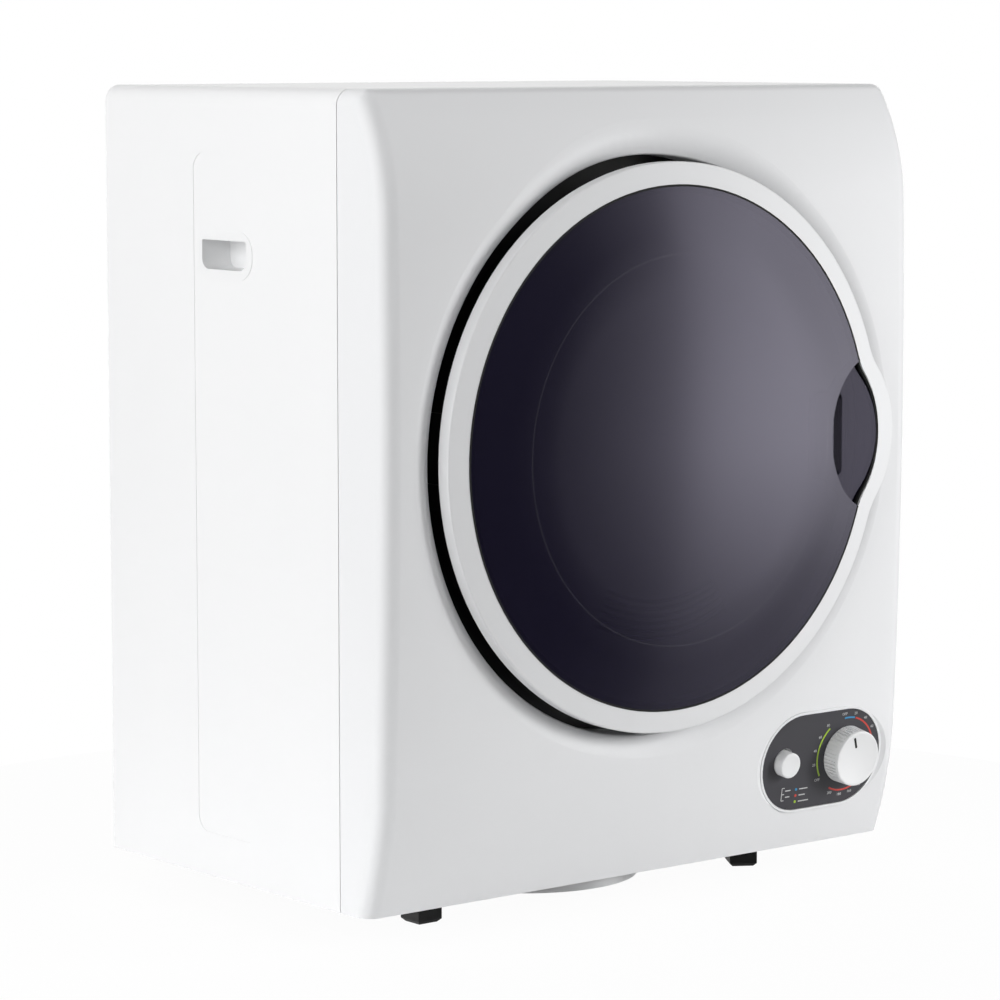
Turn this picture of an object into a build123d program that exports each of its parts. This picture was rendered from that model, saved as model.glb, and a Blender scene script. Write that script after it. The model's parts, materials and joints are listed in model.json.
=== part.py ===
"""Compact front-loading vented clothes dryer, millimetres, front towards -Y, floor at Z = 0."""
import os
from math import atan2, cos, degrees, hypot, pi, radians, sin, sqrt

from build123d import *

# Door opening and cabinet: the machine is laid out round the opening
opening_radius = 208.7
side_margin = 38.8          # opening to the cabinet's side
bottom_margin = 105.3       # opening to the cabinet's underside
top_margin = 48.3
wrap_depth = 286.0          # rear edge of the wrap to the seam with the front panel
corner_radius = 12.0        # long top edges and the front panel's upright corners
sheet = 1.0                 # steel sheet
seam_gap = 0.8
return_flange = 14.0        # wrap's rear flange, which carries the rear panel
band_width = 75.0           # pressed stiffening band in each side
band_top, band_bottom = 47.0, 32.0
band_depth = 0.4
band_setback = 135.5        # band and handle centre behind the seam

# Feet and base
foot_height = 24.0
foot_size = 21.0
foot_inset = 92.5
front_foot_setback = 28.0
rear_foot_inset = 40.0
foot_turn = {"front_left": 0.0, "front_right": -32.0, "rear_left": 0.0, "rear_right": 0.0}
foot_screw_radius = 2.5
foot_screw_head_radius = 5.0
foot_screw_head = 3.0
foot_counterbore = 10.0
base_sheet = 1.2
base_flange = 15.0
vent_radius = 85.0
vent_drop = 19.0
vent_setback = 100.0
vent_flange = 7.0
vent_slot = 7.0
vent_slot_pitch = 12.0
vent_rim = 10.0             # solid margin round the slots

# Front panel, reaches measured forward of the seam and heights above the cabinet's underside
panel_wall = 3.0
bottom_reach = 29.6
low_reach, low_height = 49.3, 95.0
bow_reach, bow_drop = 55.0, 14.0        # fullest a little below the door's axis
high_reach, high_drop = 53.5, 86.0
top_reach = 25.1
top_front_radius = 9.0
lip_width, lip_radius = 15.0, 24.0         # rolled band round the opening
lip_edge = 2.5
collar_wall = 3.5
collar_rim = 13.0
collar_rim_back = 35.0      # where the thick rim ends, forward of the seam
collar_back = 12.0

# Door
door_gap = 4.2              # opening to ring
ring_back = 55.0            # reaches forward of the seam
ring_side = 65.5
ring_lip = 67.0
ring_face = 16.5            # ring's outer edge to the lens
lens_ledge = 5.0            # ring under the lens's edge
ring_wall = 2.5
lens_edge = 70.0
lens_flank = 48.0           # lens edge to its crease
lens_flat = 79.0
lens_apex = 86.0
lens_wall = 2.5
lens_gap = 0.5
grip_ring_inset, grip_ring_radius = 54.5, 72.0
grip_lens_inset, grip_lens_radius = 52.0, 67.0
grip_blend = 45.0
grip_lift = 3.0             # bump's clearance over the front panel
ring_rebate = 1.0
scoop_offset, scoop_radius = 16.8, 59.2
scoop_floor = 66.0
scoop_wall = 2.0
finger_slot_height, finger_slot_width = 60.0, 26.0
finger_slot_hook = 4.0          # its reach under the scoop's inner edge
finger_slot_depth = 5.0         # below the scoop's floor
finger_slot_round = 4.0
inner_panel_inset = 4.5
inner_panel_wall = 2.5
skirt_inset = 34.0
gasket_lip = 4.5            # gasket past the skirt, outwards and inwards
gasket_thickness = 2.3
gasket_gap = 0.3            # gasket to the bulkhead's mouth
grille_depth = 32.0
grille_half_angle = 27.0
louvre_count = 6
louvre_slot = 2.6
lint_screen = 1.0
lint_margin = 2.0           # degrees past the louvres on each side

# Door hinge, hidden behind the ring
hinge_inset = 11.5
hinge_reach = 57.0
pin_radius = 2.0
knuckle_radius = 4.5
running_clearance = 0.05
leaf_half_height = 15.5
knuckle_gap = 0.5
knuckle_length = 18.0
pin_overhang = 2.0
hinge_well = 2.0            # room round the knuckles for the swing
neck_wall = 3.5
neck_offset = 10.0
hinge_foot = 22.0
leaf_reach = 26.0
leaf_wall = 2.0
magnet_inset, magnet_size, magnet_height = 15.0, 10.0, 30.0
magnet_depth = 8.0
catch_gap = 0.5
catch_margin = 2.0

# Bulkhead and drum
bulkhead_setback = 2.0
mouth_lip = 6.0             # mouth and its tube, inside and outside the door's skirt
mouth_reach = 20.0
weld_gap = 0.1              # mouth collar in the bulkhead's hole
collar_step = 8.0           # mouth tube to drum collar
drum_collar_length = 17.0
glide_thickness = 3.0
glide_clearance = 0.3
glide_angles = (65.0, 115.0)
glide_span = 20.0
felt_step, felt_width = 7.0, 16.0
drum_step = 19.0            # felt seal to the drum's wall
drum_front = 12.0           # behind the seam
drum_rear_gap = 28.0        # drum to the rear edge of the wrap
drum_sheet = 1.0
drum_hole_radius = 3.0
drum_hole_ring, drum_hole_step, drum_hole_rows = 34.0, 18.0, 4
drum_hole_pitch = 21.0
lifter_count = 3
lifter_base, lifter_height, lifter_top = 46.0, 42.0, 14.0
lifter_margin = 14.0
shaft_radius = 8.0
shaft_flange_radius = 26.0
shaft_flange = 4.0
shaft_tail = 10.0
bearing_outer = 14.0
bearing_length = 16.0
bearing_seat = 0.02
bracket_width, bracket_height, bracket_sheet = 270.0, 60.0, 2.0
bracket_boss = 4.0
inlet_radius = 112.0

# Drive and air
motor_inset = 82.5
motor_height = 75.0
motor_radius = 50.0
motor_rear_gap, motor_length = 42.0, 92.0
motor_shaft_radius = 6.0
motor_foot = 70.0
motor_strap = 3.0
pulley_radius = 11.0
pulley_flange = 3.0
pulley_side = 2.0
belt_width, belt_thickness = 12.0, 2.5
belt_gap = 20.0             # belt centre to the motor
belt_clearance = 0.3
shaft_front_tail = 8.0
shaft_hole_radius = 12.0
fan_radius = 52.0
fan_width = 22.0
fan_blades = 20
fan_hub = 13.0
fan_plate = 2.0
fan_gap = 3.0
cover_depth = 30.0
cover_hub_margin = 28.0
cover_fan_radius = 62.0
cover_flange = 8.0
cover_slot, cover_slot_pitch = 6.0, 12.0
cover_slot_margin = 18.0
heater_width, heater_run, heater_depth = 150.0, 26.0, 24.0
heater_distance = 150.0
heater_slot, heater_slot_pitch = 5.0, 9.0
thermostat_radius, thermostat_height = 9.0, 8.0
duct_half_width, duct_length, duct_height, duct_wall = 90.0, 195.0, 66.0, 2.0

# Controls, on the panel's own slope
plate_inset, plate_height = 78.7, 66.4
plate_length, plate_width, plate_thickness = 119.0, 73.5, 1.6
plate_sink = 3.2            # pocket floor below the tangent plane
plate_clearance = 0.4
bead_width, bead_rise, bead_round = 2.0, 0.6, 0.5       # raised edge round the plate
pocket_flare = 7.0          # how far the dished surround spreads
pocket_rise = 1.0
boss_wall = 4.0
boss_margin = 8.0
knob_x, knob_y = 24.5, 1.4
knob_radius, knob_tip_radius, knob_height = 22.0, 21.2, 14.6
knob_gap = 0.5
knob_bore_depth = 9.0
pointer_length, pointer_width, pointer_depth = 9.0, 1.6, 0.8
pointer_turn = 18.0         # degrees left of upright
timer_shaft_radius = 3.0
timer_shaft_length = 34.0
timer_size, timer_depth = 46.0, 24.0
button_x, button_y = -37.8, 2.0
button_radius, button_height = 9.7, 7.6
button_tail = 7.0
button_travel = 4.0
button_stem_radius, button_stem = 3.0, 12.0
button_ring = 0.9           # dark gap in the plate round the button
switch_size, switch_depth = 24.0, 20.0
slide_clearance = 0.08

# Side handles
handle_drop = 119.0
bezel_length, bezel_height = 69.0, 34.5
cup_length, cup_height, cup_depth = 54.0, 21.0, 26.0
cup_wall = 1.5
cup_top_radius, cup_bottom_radius = 3.0, 8.0
cup_clearance = 0.3

# Rear fittings
screw_radius, screw_head_radius, screw_head, screw_length = 1.9, 4.0, 2.2, 7.0
screw_clearance = 0.1
rear_screw_rows = 4
rear_screw_rise = 61.5
cover_screw_count = 9
gland_inset, gland_height = 57.5, 70.0
gland_radius, gland_flange_radius, gland_bore = 9.0, 13.0, 4.5
gland_flange, gland_tail = 3.0, 8.0
terminal_length, terminal_height, terminal_depth = 44.0, 22.0, 18.0
terminal_rise = 40.0
louvre_inset, louvre_rise = 97.5, 140.0
louvre_length, louvre_height, louvre_pitch, louvre_rows = 70.0, 5.0, 12.0, 7

# Reference places and radii worked out from the sizes above
body_width = 2 * (opening_radius + side_margin)
body_height = bottom_margin + 2 * opening_radius + top_margin
axis_height = bottom_margin + opening_radius
ring_radius = opening_radius - door_gap
lens_radius = ring_radius - ring_face
ring_inner = lens_radius - lens_ledge
lens_flat_radius = lens_radius - lens_flank
inner_panel_radius = ring_radius - inner_panel_inset
skirt_radius = inner_panel_radius - skirt_inset
skirt_back = mouth_reach + gasket_gap + gasket_thickness
gasket_back = mouth_reach + gasket_gap
mouth_radius = skirt_radius - mouth_lip
mouth_tube_radius = skirt_radius + mouth_lip
drum_collar_radius = mouth_tube_radius + collar_step
felt_inner = drum_collar_radius + felt_step
felt_outer = felt_inner + felt_width
drum_radius = felt_outer + drum_step
drum_length = wrap_depth - drum_front - drum_rear_gap
grip_ring_centre = ring_radius - grip_ring_inset
grip_lens_centre = lens_radius - grip_lens_inset
scoop_centre = lens_radius + scoop_offset
hinge_x = hinge_inset - ring_radius
magnet_x = inner_panel_radius - magnet_inset
cover_hub_radius = inlet_radius + cover_hub_margin
motor_x = motor_inset - body_width / 2
motor_front = wrap_depth - motor_rear_gap - motor_length
belt_setback = motor_front - belt_gap
plate_x = body_width / 2 - plate_inset
gland_x = body_width / 2 - gland_inset
louvre_x = body_width / 2 - louvre_inset
y_seam = (lens_apex - wrap_depth - cover_depth) / 2
y_rear = y_seam + wrap_depth
y_wrap = y_seam + seam_gap
z_base = foot_height
z_top = z_base + body_height
z_axis = z_base + axis_height
y_band = y_seam + band_setback
y_vent = y_seam + vent_setback
y_bulkhead = y_seam + bulkhead_setback
y_drum = y_seam + drum_front
y_drum_back = y_drum + drum_length
motor_z = z_base + motor_height
overlap = 1.0               # how far a cutting tool runs past the face it opens
tolerance = 0.01            # for picking edges by their place

parts = {}


def box(x0, x1, y0, y1, z0, z1):
    return Pos((x0 + x1) / 2, (y0 + y1) / 2, (z0 + z1) / 2) * Box(x1 - x0, y1 - y0, z1 - z0)


def slab_x(sketch, x0, x1):
    return extrude(Plane((x0, 0, 0), x_dir=(0, 1, 0), z_dir=(1, 0, 0)) * sketch, amount=x1 - x0)


def slab_y(sketch, y0, y1):
    return extrude(Plane((0, y1, 0), x_dir=(1, 0, 0), z_dir=(0, -1, 0)) * sketch, amount=y1 - y0)


def slab_z(sketch, z0, z1):
    return extrude(Pos(0, 0, z0) * sketch, amount=z1 - z0)


def rod_y(x, z, radius, y0, y1):
    return slab_y(Pos(x, z) * Circle(radius), y0, y1)


def tube_y(x, z, outer, inner, y0, y1):
    return slab_y(Pos(x, z) * (Circle(outer) - Circle(inner)), y0, y1)


def rod_z(x, y, radius, z0, z1):
    return slab_z(Pos(x, y) * Circle(radius), z0, z1)


def turned(outline):
    """Revolve a closed (radius, reach) outline about the door axis; reach is forward of the seam."""
    points = [(r, y_seam - reach) for r, reach in outline]
    return Pos(0, 0, z_axis) * revolve(make_face(Polyline(*points, close=True)), Axis.Y)


def wrap_section(inset):
    width = body_width - 2 * inset
    height = body_height - inset
    sketch = Pos(0, z_base + height / 2) * Rectangle(width, height)
    return fillet(sketch.vertices().group_by(Axis.Y)[-1], max(corner_radius - inset, sheet))


def on_side(sketch):
    return Pos(y_band, z_top - handle_drop) * sketch


def screw_y(x, z, y_head):
    head = rod_y(x, z, screw_head_radius, y_head, y_head + screw_head)
    return head + rod_y(x, z, screw_radius, y_head - screw_length, y_head)


def front_arcs():
    low = (y_seam - low_reach, z_base + low_height)
    bow = (y_seam - bow_reach, z_axis - bow_drop)
    high = (y_seam - high_reach, z_top - high_drop)
    middle = ThreePointArc(low, bow, high)
    upper = TangentArc(high, (y_seam - top_reach, z_top), tangent=middle % 1)
    lower = TangentArc(low, (y_seam - bottom_reach, z_base), tangent=(middle % 0) * -1)
    return lower, middle, upper


lower_arc, middle_arc, upper_arc = front_arcs()


def front_outline():
    top_front, bottom_front = (y_seam - top_reach, z_top), (y_seam - bottom_reach, z_base)
    back = Polyline(top_front, (y_seam, z_top), (y_seam, z_base), bottom_front)
    face = make_face(lower_arc + middle_arc + upper_arc + back)
    corner = face.vertices().sort_by_distance((*top_front, 0))[0]
    return fillet(corner, top_front_radius)


def upright_edges(solid, half_width):
    return solid.edges().filter_by(
        lambda e: abs(abs(e.center().X) - half_width) < tolerance
        and e.center().Y < y_seam - panel_wall - tolerance
        and e.center().Z > z_base + panel_wall + tolerance
    )


def control_plane():
    """Tangent plane of the lower arc at the control plate, looking out of the panel."""
    centre = lower_arc.arc_center
    z = z_base + plate_height
    y = centre.X - sqrt(lower_arc.radius**2 - (z - centre.Y) ** 2)
    normal = (0, (y - centre.X) / lower_arc.radius, (z - centre.Y) / lower_arc.radius)
    return Plane((plate_x, y, z), x_dir=(1, 0, 0), z_dir=normal)


control = control_plane()


def on_control(sketch, depth0, depth1):
    """Extrude a sketch drawn on the control plane from one depth to another, out of the panel."""
    return extrude(control.offset(depth0) * sketch, amount=depth1 - depth0)


plate_face = plate_thickness - plate_sink
boss_back = -plate_sink - boss_wall
knob_place = Pos(knob_x, knob_y)
button_place = Pos(button_x, button_y)


def plate_plan(grow):
    return SlotOverall(plate_length + 2 * grow, plate_width + 2 * grow)


def rolled_rim(panel, radius, roll):
    """The panel bored on the door's axis, with the bore's front rim rounded."""
    panel -= rod_y(0, z_axis, radius, y_seam - lens_apex, y_seam + overlap)
    rim = panel.edges().filter_by(
        lambda e: e.center().Y < y_seam - overlap
        and abs(hypot(e.position_at(0).X, e.position_at(0).Z - z_axis) - radius) < tolerance
        and abs(hypot(e.position_at(0.5).X, e.position_at(0.5).Z - z_axis) - radius) < tolerance
    )
    return fillet(rim, roll)


def front_panel():
    outline = front_outline()
    outer = slab_x(outline, -body_width / 2, body_width / 2)
    outer = fillet(upright_edges(outer, body_width / 2), corner_radius)
    outer = rolled_rim(outer, opening_radius + lip_width - lip_radius, lip_radius)
    outer = rolled_rim(outer, opening_radius, lip_edge)
    half_inside = body_width / 2 - panel_wall
    hollow = slab_x(offset(outline, -panel_wall), -half_inside, half_inside)
    hollow = fillet(upright_edges(hollow, half_inside), corner_radius - panel_wall)
    hollow += box(-half_inside, half_inside, y_seam - panel_wall - overlap, y_seam + overlap,
                  z_base + panel_wall, z_top - corner_radius)
    hollow += slab_y(wrap_section(panel_wall) & Pos(0, z_axis) * Rectangle(body_width, body_height),
                     y_seam - panel_wall - overlap, y_seam + overlap) - box(
        -body_width, body_width, y_seam - body_width, y_seam + body_width, 0, z_base + panel_wall)
    rim_radius = opening_radius + collar_rim
    hollow -= rod_y(0, z_axis, rim_radius, y_seam - lens_apex, y_seam - collar_rim_back)
    hollow -= rod_y(0, z_axis, opening_radius + collar_wall, y_seam - collar_rim_back, y_seam - collar_back)
    hollow -= on_control(plate_plan(boss_margin), boss_back, boss_margin)
    panel = outer - hollow
    rim = plate_plan(plate_clearance + bead_width)
    mouth = plate_plan(plate_clearance + bead_width + pocket_flare)
    panel -= loft([control.offset(plate_face) * rim, control.offset(pocket_rise) * mouth])
    bead = on_control(rim, -plate_sink, plate_face + bead_rise)
    top = bead.faces().sort_by_distance(control.offset(boss_margin).origin)[0]
    panel += fillet(top.edges(), bead_round)
    panel -= on_control(plate_plan(plate_clearance), -plate_sink, boss_margin)
    bores = knob_place * Circle(timer_shaft_radius + plate_clearance)
    bores += button_place * Circle(button_radius + slide_clearance)
    return panel - on_control(bores, boss_back - overlap, 0)


def cabinet_wrap():
    wrap = slab_y(wrap_section(0) - wrap_section(sheet), y_wrap, y_rear)
    wrap += slab_y(wrap_section(sheet) - wrap_section(return_flange), y_rear - 2 * sheet, y_rear - sheet)
    half = body_width / 2
    band_height = body_height - band_top - band_bottom
    band = Pos(y_band, z_base + band_bottom + band_height / 2) * RectangleRounded(
        band_width, band_height, corner_radius)
    hole = on_side(RectangleRounded(cup_length + 2 * (cup_wall + cup_clearance),
                                    cup_height + 2 * (cup_wall + cup_clearance), cup_top_radius))
    lining = slab_x(offset(band, sheet), half - sheet - band_depth, half - sheet)
    pressing = slab_x(band, half - band_depth, half + overlap)
    opening = slab_x(hole, half - 2 * sheet - band_depth, half + overlap)
    for side in (lining, mirror(lining, Plane.YZ)):
        wrap += side
    for tool in (pressing, opening):
        wrap -= tool
        wrap -= mirror(tool, Plane.YZ)
    return wrap - rear_screw_holes()


def handle_cup(side):
    half = body_width / 2
    floor = half - band_depth
    bezel = RectangleRounded(bezel_length, bezel_height, bezel_height / 2 - cup_wall)
    bezel = slab_x(on_side(bezel), floor, half)

    def cavity(grow):
        sketch = Rectangle(cup_length + 2 * grow, cup_height + 2 * grow)
        sketch = fillet(sketch.vertices().group_by(Axis.Y)[0], cup_bottom_radius + grow)
        return on_side(fillet(sketch.vertices().group_by(Axis.Y)[-1], cup_top_radius - cup_wall + grow))

    shell = slab_x(cavity(cup_wall), half - cup_depth, floor)
    cup = bezel + shell - slab_x(cavity(0), half - cup_depth + cup_wall, half + overlap)
    return cup if side > 0 else mirror(cup, Plane.YZ)


def rear_screw_places():
    inset = (sheet + return_flange) / 2
    x = body_width / 2 - inset
    low, high = z_base + rear_screw_rise, z_top - 2 * return_flange
    rows = [low + (high - low) * k / (rear_screw_rows - 1) for k in range(rear_screw_rows)]
    sides = [(sx * x, z) for sx in (-1, 1) for z in rows]
    return sides + [(sx * x / 2, z_top - inset) for sx in (-1, 1)]


def screw_holes(places):
    return Sketch() + [Pos(x, z) * Circle(screw_radius + screw_clearance) for x, z in places]


def rear_screw_holes():
    return slab_y(screw_holes(rear_screw_places()), y_rear - screw_length, y_rear + overlap)


def cover_outline(grow):
    hub = Pos(0, z_axis) * Circle(cover_hub_radius + grow)
    fan = Pos(motor_x, motor_z) * Circle(cover_fan_radius + grow)
    return make_hull(hub.edges() + fan.edges())


def cover_screw_places():
    path = cover_outline(cover_flange / 2).wire()
    points = [path @ ((k + 0.5) / cover_screw_count) for k in range(cover_screw_count)]
    return [(p.X, p.Y) for p in points]


def cover_screw_holes():
    return slab_y(screw_holes(cover_screw_places()), y_rear - screw_length, y_rear + screw_length)


def gland_z():
    return z_base + gland_height


def rear_panel():
    panel = slab_y(wrap_section(sheet), y_rear - sheet, y_rear)
    cuts = Pos(0, z_axis) * Circle(inlet_radius)
    cuts += Pos(motor_x, motor_z) * Circle(shaft_hole_radius)
    cuts += Pos(gland_x, gland_z()) * Circle(gland_radius + screw_clearance)
    louvre_z = z_base + louvre_rise
    for k in range(louvre_rows):
        cuts += Pos(louvre_x, louvre_z + k * louvre_pitch) * SlotOverall(louvre_length, louvre_height)
    panel -= slab_y(cuts, y_rear - screw_length, y_rear + overlap)
    return panel - rear_screw_holes() - cover_screw_holes()


def rear_duct_cover():
    y_out = y_rear + cover_depth
    cover = slab_y(cover_outline(0), y_rear, y_out)
    cover -= slab_y(cover_outline(-sheet), y_rear - overlap, y_out - sheet)
    cover += slab_y(cover_outline(cover_flange) - cover_outline(-sheet), y_rear, y_rear + sheet)
    reach = cover_fan_radius - cover_slot_margin
    rows = int(reach // cover_slot_pitch)
    slots = Sketch()
    for k in range(-rows, rows + 1):
        z = k * cover_slot_pitch
        slots += Pos(motor_x, motor_z + z) * SlotOverall(2 * sqrt(reach**2 - z**2) + cover_slot, cover_slot)
    cover -= slab_y(slots, y_out - 2 * sheet, y_out + overlap)
    return cover - cover_screw_holes()


def base_pan():
    half = body_width / 2 - sheet
    y0, y1 = y_wrap, y_rear - 2 * sheet
    pan = box(-half, half, y0, y1, z_base, z_base + base_flange)
    pan -= box(-half + base_sheet, half - base_sheet, y0 - overlap, y1 - base_sheet,
               z_base + base_sheet, z_base + base_flange + overlap)
    pan -= rod_z(0, y_vent, vent_radius - sheet, z_base - overlap, z_base + base_flange)
    for x, y in foot_places().values():
        pan -= rod_z(x, y, foot_screw_radius + screw_clearance, z_base - overlap, z_base + base_flange)
    return pan


def foot_places():
    rear = y_rear - rear_foot_inset
    front = y_seam + front_foot_setback
    spread = body_width / 2 - foot_inset
    return {
        "front_left": (-spread, front),
        "front_right": (spread, front),
        "rear_left": (-spread, rear),
        "rear_right": (spread, rear),
    }


def foot(name):
    x, y = foot_places()[name]
    block = slab_z(Rectangle(foot_size, foot_size), 0, z_base)
    block = chamfer(block.edges().group_by(Axis.Z)[0], foot_screw_radius)
    block -= rod_z(0, 0, foot_screw_radius + screw_clearance, -overlap, z_base + overlap)
    block -= rod_z(0, 0, foot_screw_head_radius + plate_clearance, -overlap, foot_counterbore)
    return Pos(x, y) * Rot(0, 0, foot_turn[name]) * block


def foot_screws():
    screws = []
    for x, y in foot_places().values():
        head = rod_z(x, y, foot_screw_head_radius, foot_counterbore - foot_screw_head, foot_counterbore)
        screws.append(head + rod_z(x, y, foot_screw_radius, foot_counterbore, z_base + base_flange))
    return Compound(children=screws)


def vent_collar():
    low = z_base - vent_drop
    ring = Pos(0, y_vent) * (Circle(vent_radius) - Circle(vent_radius - sheet))
    lip = Pos(0, y_vent) * (Circle(vent_radius + vent_flange) - Circle(vent_radius - sheet))
    return slab_z(ring, low, z_base) + slab_z(lip, z_base - sheet, z_base)


def vent_grille():
    low = z_base - vent_drop + sheet
    reach = vent_radius - sheet
    disc = rod_z(0, y_vent, reach, low, low + 2 * sheet)
    span = reach - vent_rim
    rows = int(span // vent_slot_pitch)
    slots = Sketch()
    for k in range(-rows, rows + 1):
        y = k * vent_slot_pitch
        slots += Pos(0, y_vent + y) * SlotOverall(2 * sqrt(span**2 - y**2) + vent_slot, vent_slot)
    return disc - slab_z(slots, low - overlap, low + 3 * sheet)


def exhaust_duct():
    y0 = y_bulkhead + sheet
    z0 = z_base + base_sheet
    duct = box(-duct_half_width, duct_half_width, y0, y0 + duct_length, z0, z0 + duct_height)
    inside = duct_half_width - duct_wall
    return duct - box(-inside, inside, y0 - overlap, y0 + duct_length - duct_wall,
                      z0 - overlap, z0 + duct_height - duct_wall)


def front_bulkhead():
    plate = slab_y(wrap_section(sheet + lens_gap), y_bulkhead, y_bulkhead + sheet)
    plate -= box(-body_width, body_width, y_seam - overlap, y_drum, 0, z_base + base_flange)
    plate -= rod_y(0, z_axis, mouth_tube_radius + weld_gap, y_seam - overlap, y_drum)
    inside = duct_half_width - duct_wall
    duct_top = z_base + base_sheet + duct_height - duct_wall
    return plate - box(-inside, inside, y_seam - overlap, y_drum, 0, duct_top)


def mouth_collar():
    y_mouth = y_seam - mouth_reach
    collar = tube_y(0, z_axis, mouth_tube_radius, mouth_tube_radius - sheet, y_mouth, y_bulkhead + sheet)
    return collar + tube_y(0, z_axis, mouth_tube_radius, mouth_radius, y_mouth, y_mouth + sheet)


def drum_collar():
    y0 = y_bulkhead + sheet
    return tube_y(0, z_axis, drum_collar_radius, drum_collar_radius - sheet, y0, y0 + drum_collar_length)


def sector(inner, outer, centre_angle, half_angle):
    far = 2 * outer
    rays = [(far * cos(radians(centre_angle + a)), far * sin(radians(centre_angle + a)))
            for a in (-half_angle, 0, half_angle)]
    wedge = make_face(Polyline((0, 0), *rays, close=True))
    return Pos(0, z_axis) * ((Circle(outer) - Circle(inner)) & wedge)


def drum_glides():
    y0 = y_bulkhead + sheet
    pads = [slab_y(sector(drum_collar_radius, drum_collar_radius + glide_thickness, a, glide_span / 2), y0,
                   y0 + drum_collar_length) for a in glide_angles]
    return Compound(children=pads)


def drum_felt_seal():
    return tube_y(0, z_axis, felt_outer, felt_inner, y_bulkhead + sheet, y_drum - glide_clearance)


def drum_shell():
    lip = drum_collar_radius + glide_thickness + glide_clearance
    shell = tube_y(0, z_axis, drum_radius, drum_radius - drum_sheet, y_drum, y_drum_back)
    return shell + tube_y(0, z_axis, drum_radius, lip, y_drum, y_drum + drum_sheet)


def drum_back():
    disc = rod_y(0, z_axis, drum_radius - drum_sheet, y_drum_back - drum_sheet, y_drum_back)
    holes = Sketch()
    for row in range(drum_hole_rows):
        ring = drum_hole_ring + row * drum_hole_step
        count = round(2 * pi * ring / drum_hole_pitch)
        holes += [place * Circle(drum_hole_radius) for place in PolarLocations(ring, count)]
    return disc - slab_y(Pos(0, z_axis) * holes, y_drum_back - 2 * drum_sheet, y_drum_back + overlap)


def drum_lifter(index):
    inner = drum_radius - drum_sheet
    foot_r = sqrt(inner**2 - (lifter_base / 2) ** 2)
    tip = foot_r - lifter_height
    web = make_face(Polyline((-lifter_base / 2, -foot_r), (lifter_base / 2, -foot_r), (lifter_top / 2, -tip),
                             (-lifter_top / 2, -tip), close=True))
    web += (Circle(inner) - Pos(0, inner - foot_r) * Rectangle(2 * inner, 2 * inner)) & (
        Pos(0, -inner) * Rectangle(lifter_base, lifter_base))
    web = fillet(web.vertices().group_by(Axis.Y)[-1], lifter_top / 3)
    bar = slab_y(web, y_drum + lifter_margin, y_drum_back - lifter_margin)
    return Pos(0, 0, z_axis) * Rot(0, 360 / lifter_count * index, 0) * bar


def drum_shaft():
    flange = rod_y(0, z_axis, shaft_flange_radius, y_drum_back, y_drum_back + shaft_flange)
    return flange + rod_y(0, z_axis, shaft_radius, y_drum_back + shaft_flange, y_rear + shaft_tail)


def bearing_span():
    middle = y_rear - sheet - bracket_sheet
    return middle - bearing_length / 2, middle + bearing_length / 2


def bearing_bracket():
    y1 = y_rear - sheet
    strip = Pos(0, z_axis) * RectangleRounded(bracket_width, bracket_height, corner_radius)
    bar = slab_y(strip, y1 - bracket_sheet, y1)
    y0, y2 = bearing_span()
    bar += rod_y(0, z_axis, bearing_outer + bracket_boss, y0, y2)
    return bar - rod_y(0, z_axis, bearing_outer + bearing_seat, y0 - overlap, y2 + overlap)


def drum_bearing():
    y0, y2 = bearing_span()
    return tube_y(0, z_axis, bearing_outer, shaft_radius + running_clearance, y0, y2)


def motor_housing():
    y0 = y_seam + motor_front
    body = rod_y(motor_x, motor_z, motor_radius, y0, y0 + motor_length)
    body = fillet(body.edges().filter_by(GeomType.CIRCLE), motor_radius / 8)
    return body - rod_y(motor_x, motor_z, motor_shaft_radius + running_clearance, y0 - overlap,
                        y0 + motor_length + overlap)


def motor_bracket():
    y0 = y_seam + motor_front + motor_length / 6
    y1 = y_seam + motor_front + motor_length * 5 / 6
    z0 = z_base + base_sheet
    cradle = box(motor_x - motor_foot, motor_x + motor_foot, y0, y1, z0, z0 + motor_strap)
    block = Pos(motor_x, motor_z) * Circle(motor_radius + motor_strap)
    block &= Pos(motor_x, z0 + (motor_z - z0) / 2) * Rectangle(2 * motor_radius, motor_z - z0)
    legs = Pos(motor_x, (z0 + motor_z) / 2) * Rectangle(motor_radius, motor_z - z0)
    cradle += slab_y(block + legs, y0, y1)
    return cradle - rod_y(motor_x, motor_z, motor_radius, y0 - overlap, y1 + overlap)


def pulley_span():
    half = belt_width / 2 + pulley_side
    return y_seam + belt_setback - half, y_seam + belt_setback + half


def motor_pulley():
    y0, y1 = pulley_span()
    wheel = rod_y(motor_x, motor_z, pulley_radius, y0, y1)
    for a, b in ((y0, y0 + pulley_side - belt_clearance), (y1 - pulley_side + belt_clearance, y1)):
        wheel += rod_y(motor_x, motor_z, pulley_radius + pulley_flange, a, b)
    return wheel - rod_y(motor_x, motor_z, motor_shaft_radius, y0 - overlap, y1 + overlap)


def fan_span():
    return y_rear + fan_gap, y_rear + fan_gap + fan_width


def motor_shaft():
    return rod_y(motor_x, motor_z, motor_shaft_radius, pulley_span()[0] - shaft_front_tail, fan_span()[1])


def fan_wheel():
    y0, y1 = fan_span()
    wheel = rod_y(0, 0, fan_radius, y0, y0 + fan_plate) + rod_y(0, 0, fan_hub, y0, y1)
    blade = box(fan_hub + fan_plate, fan_radius, y0, y1, -fan_plate / 2, fan_plate / 2)
    wheel += [Rot(0, 360 / fan_blades * k, 0) * blade for k in range(fan_blades)]
    wheel += tube_y(0, 0, fan_radius, fan_radius * 3 / 4, y1 - fan_plate, y1)
    wheel -= rod_y(0, 0, motor_shaft_radius, y0 - overlap, y1 + overlap)
    return Pos(motor_x, 0, motor_z) * wheel


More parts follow.
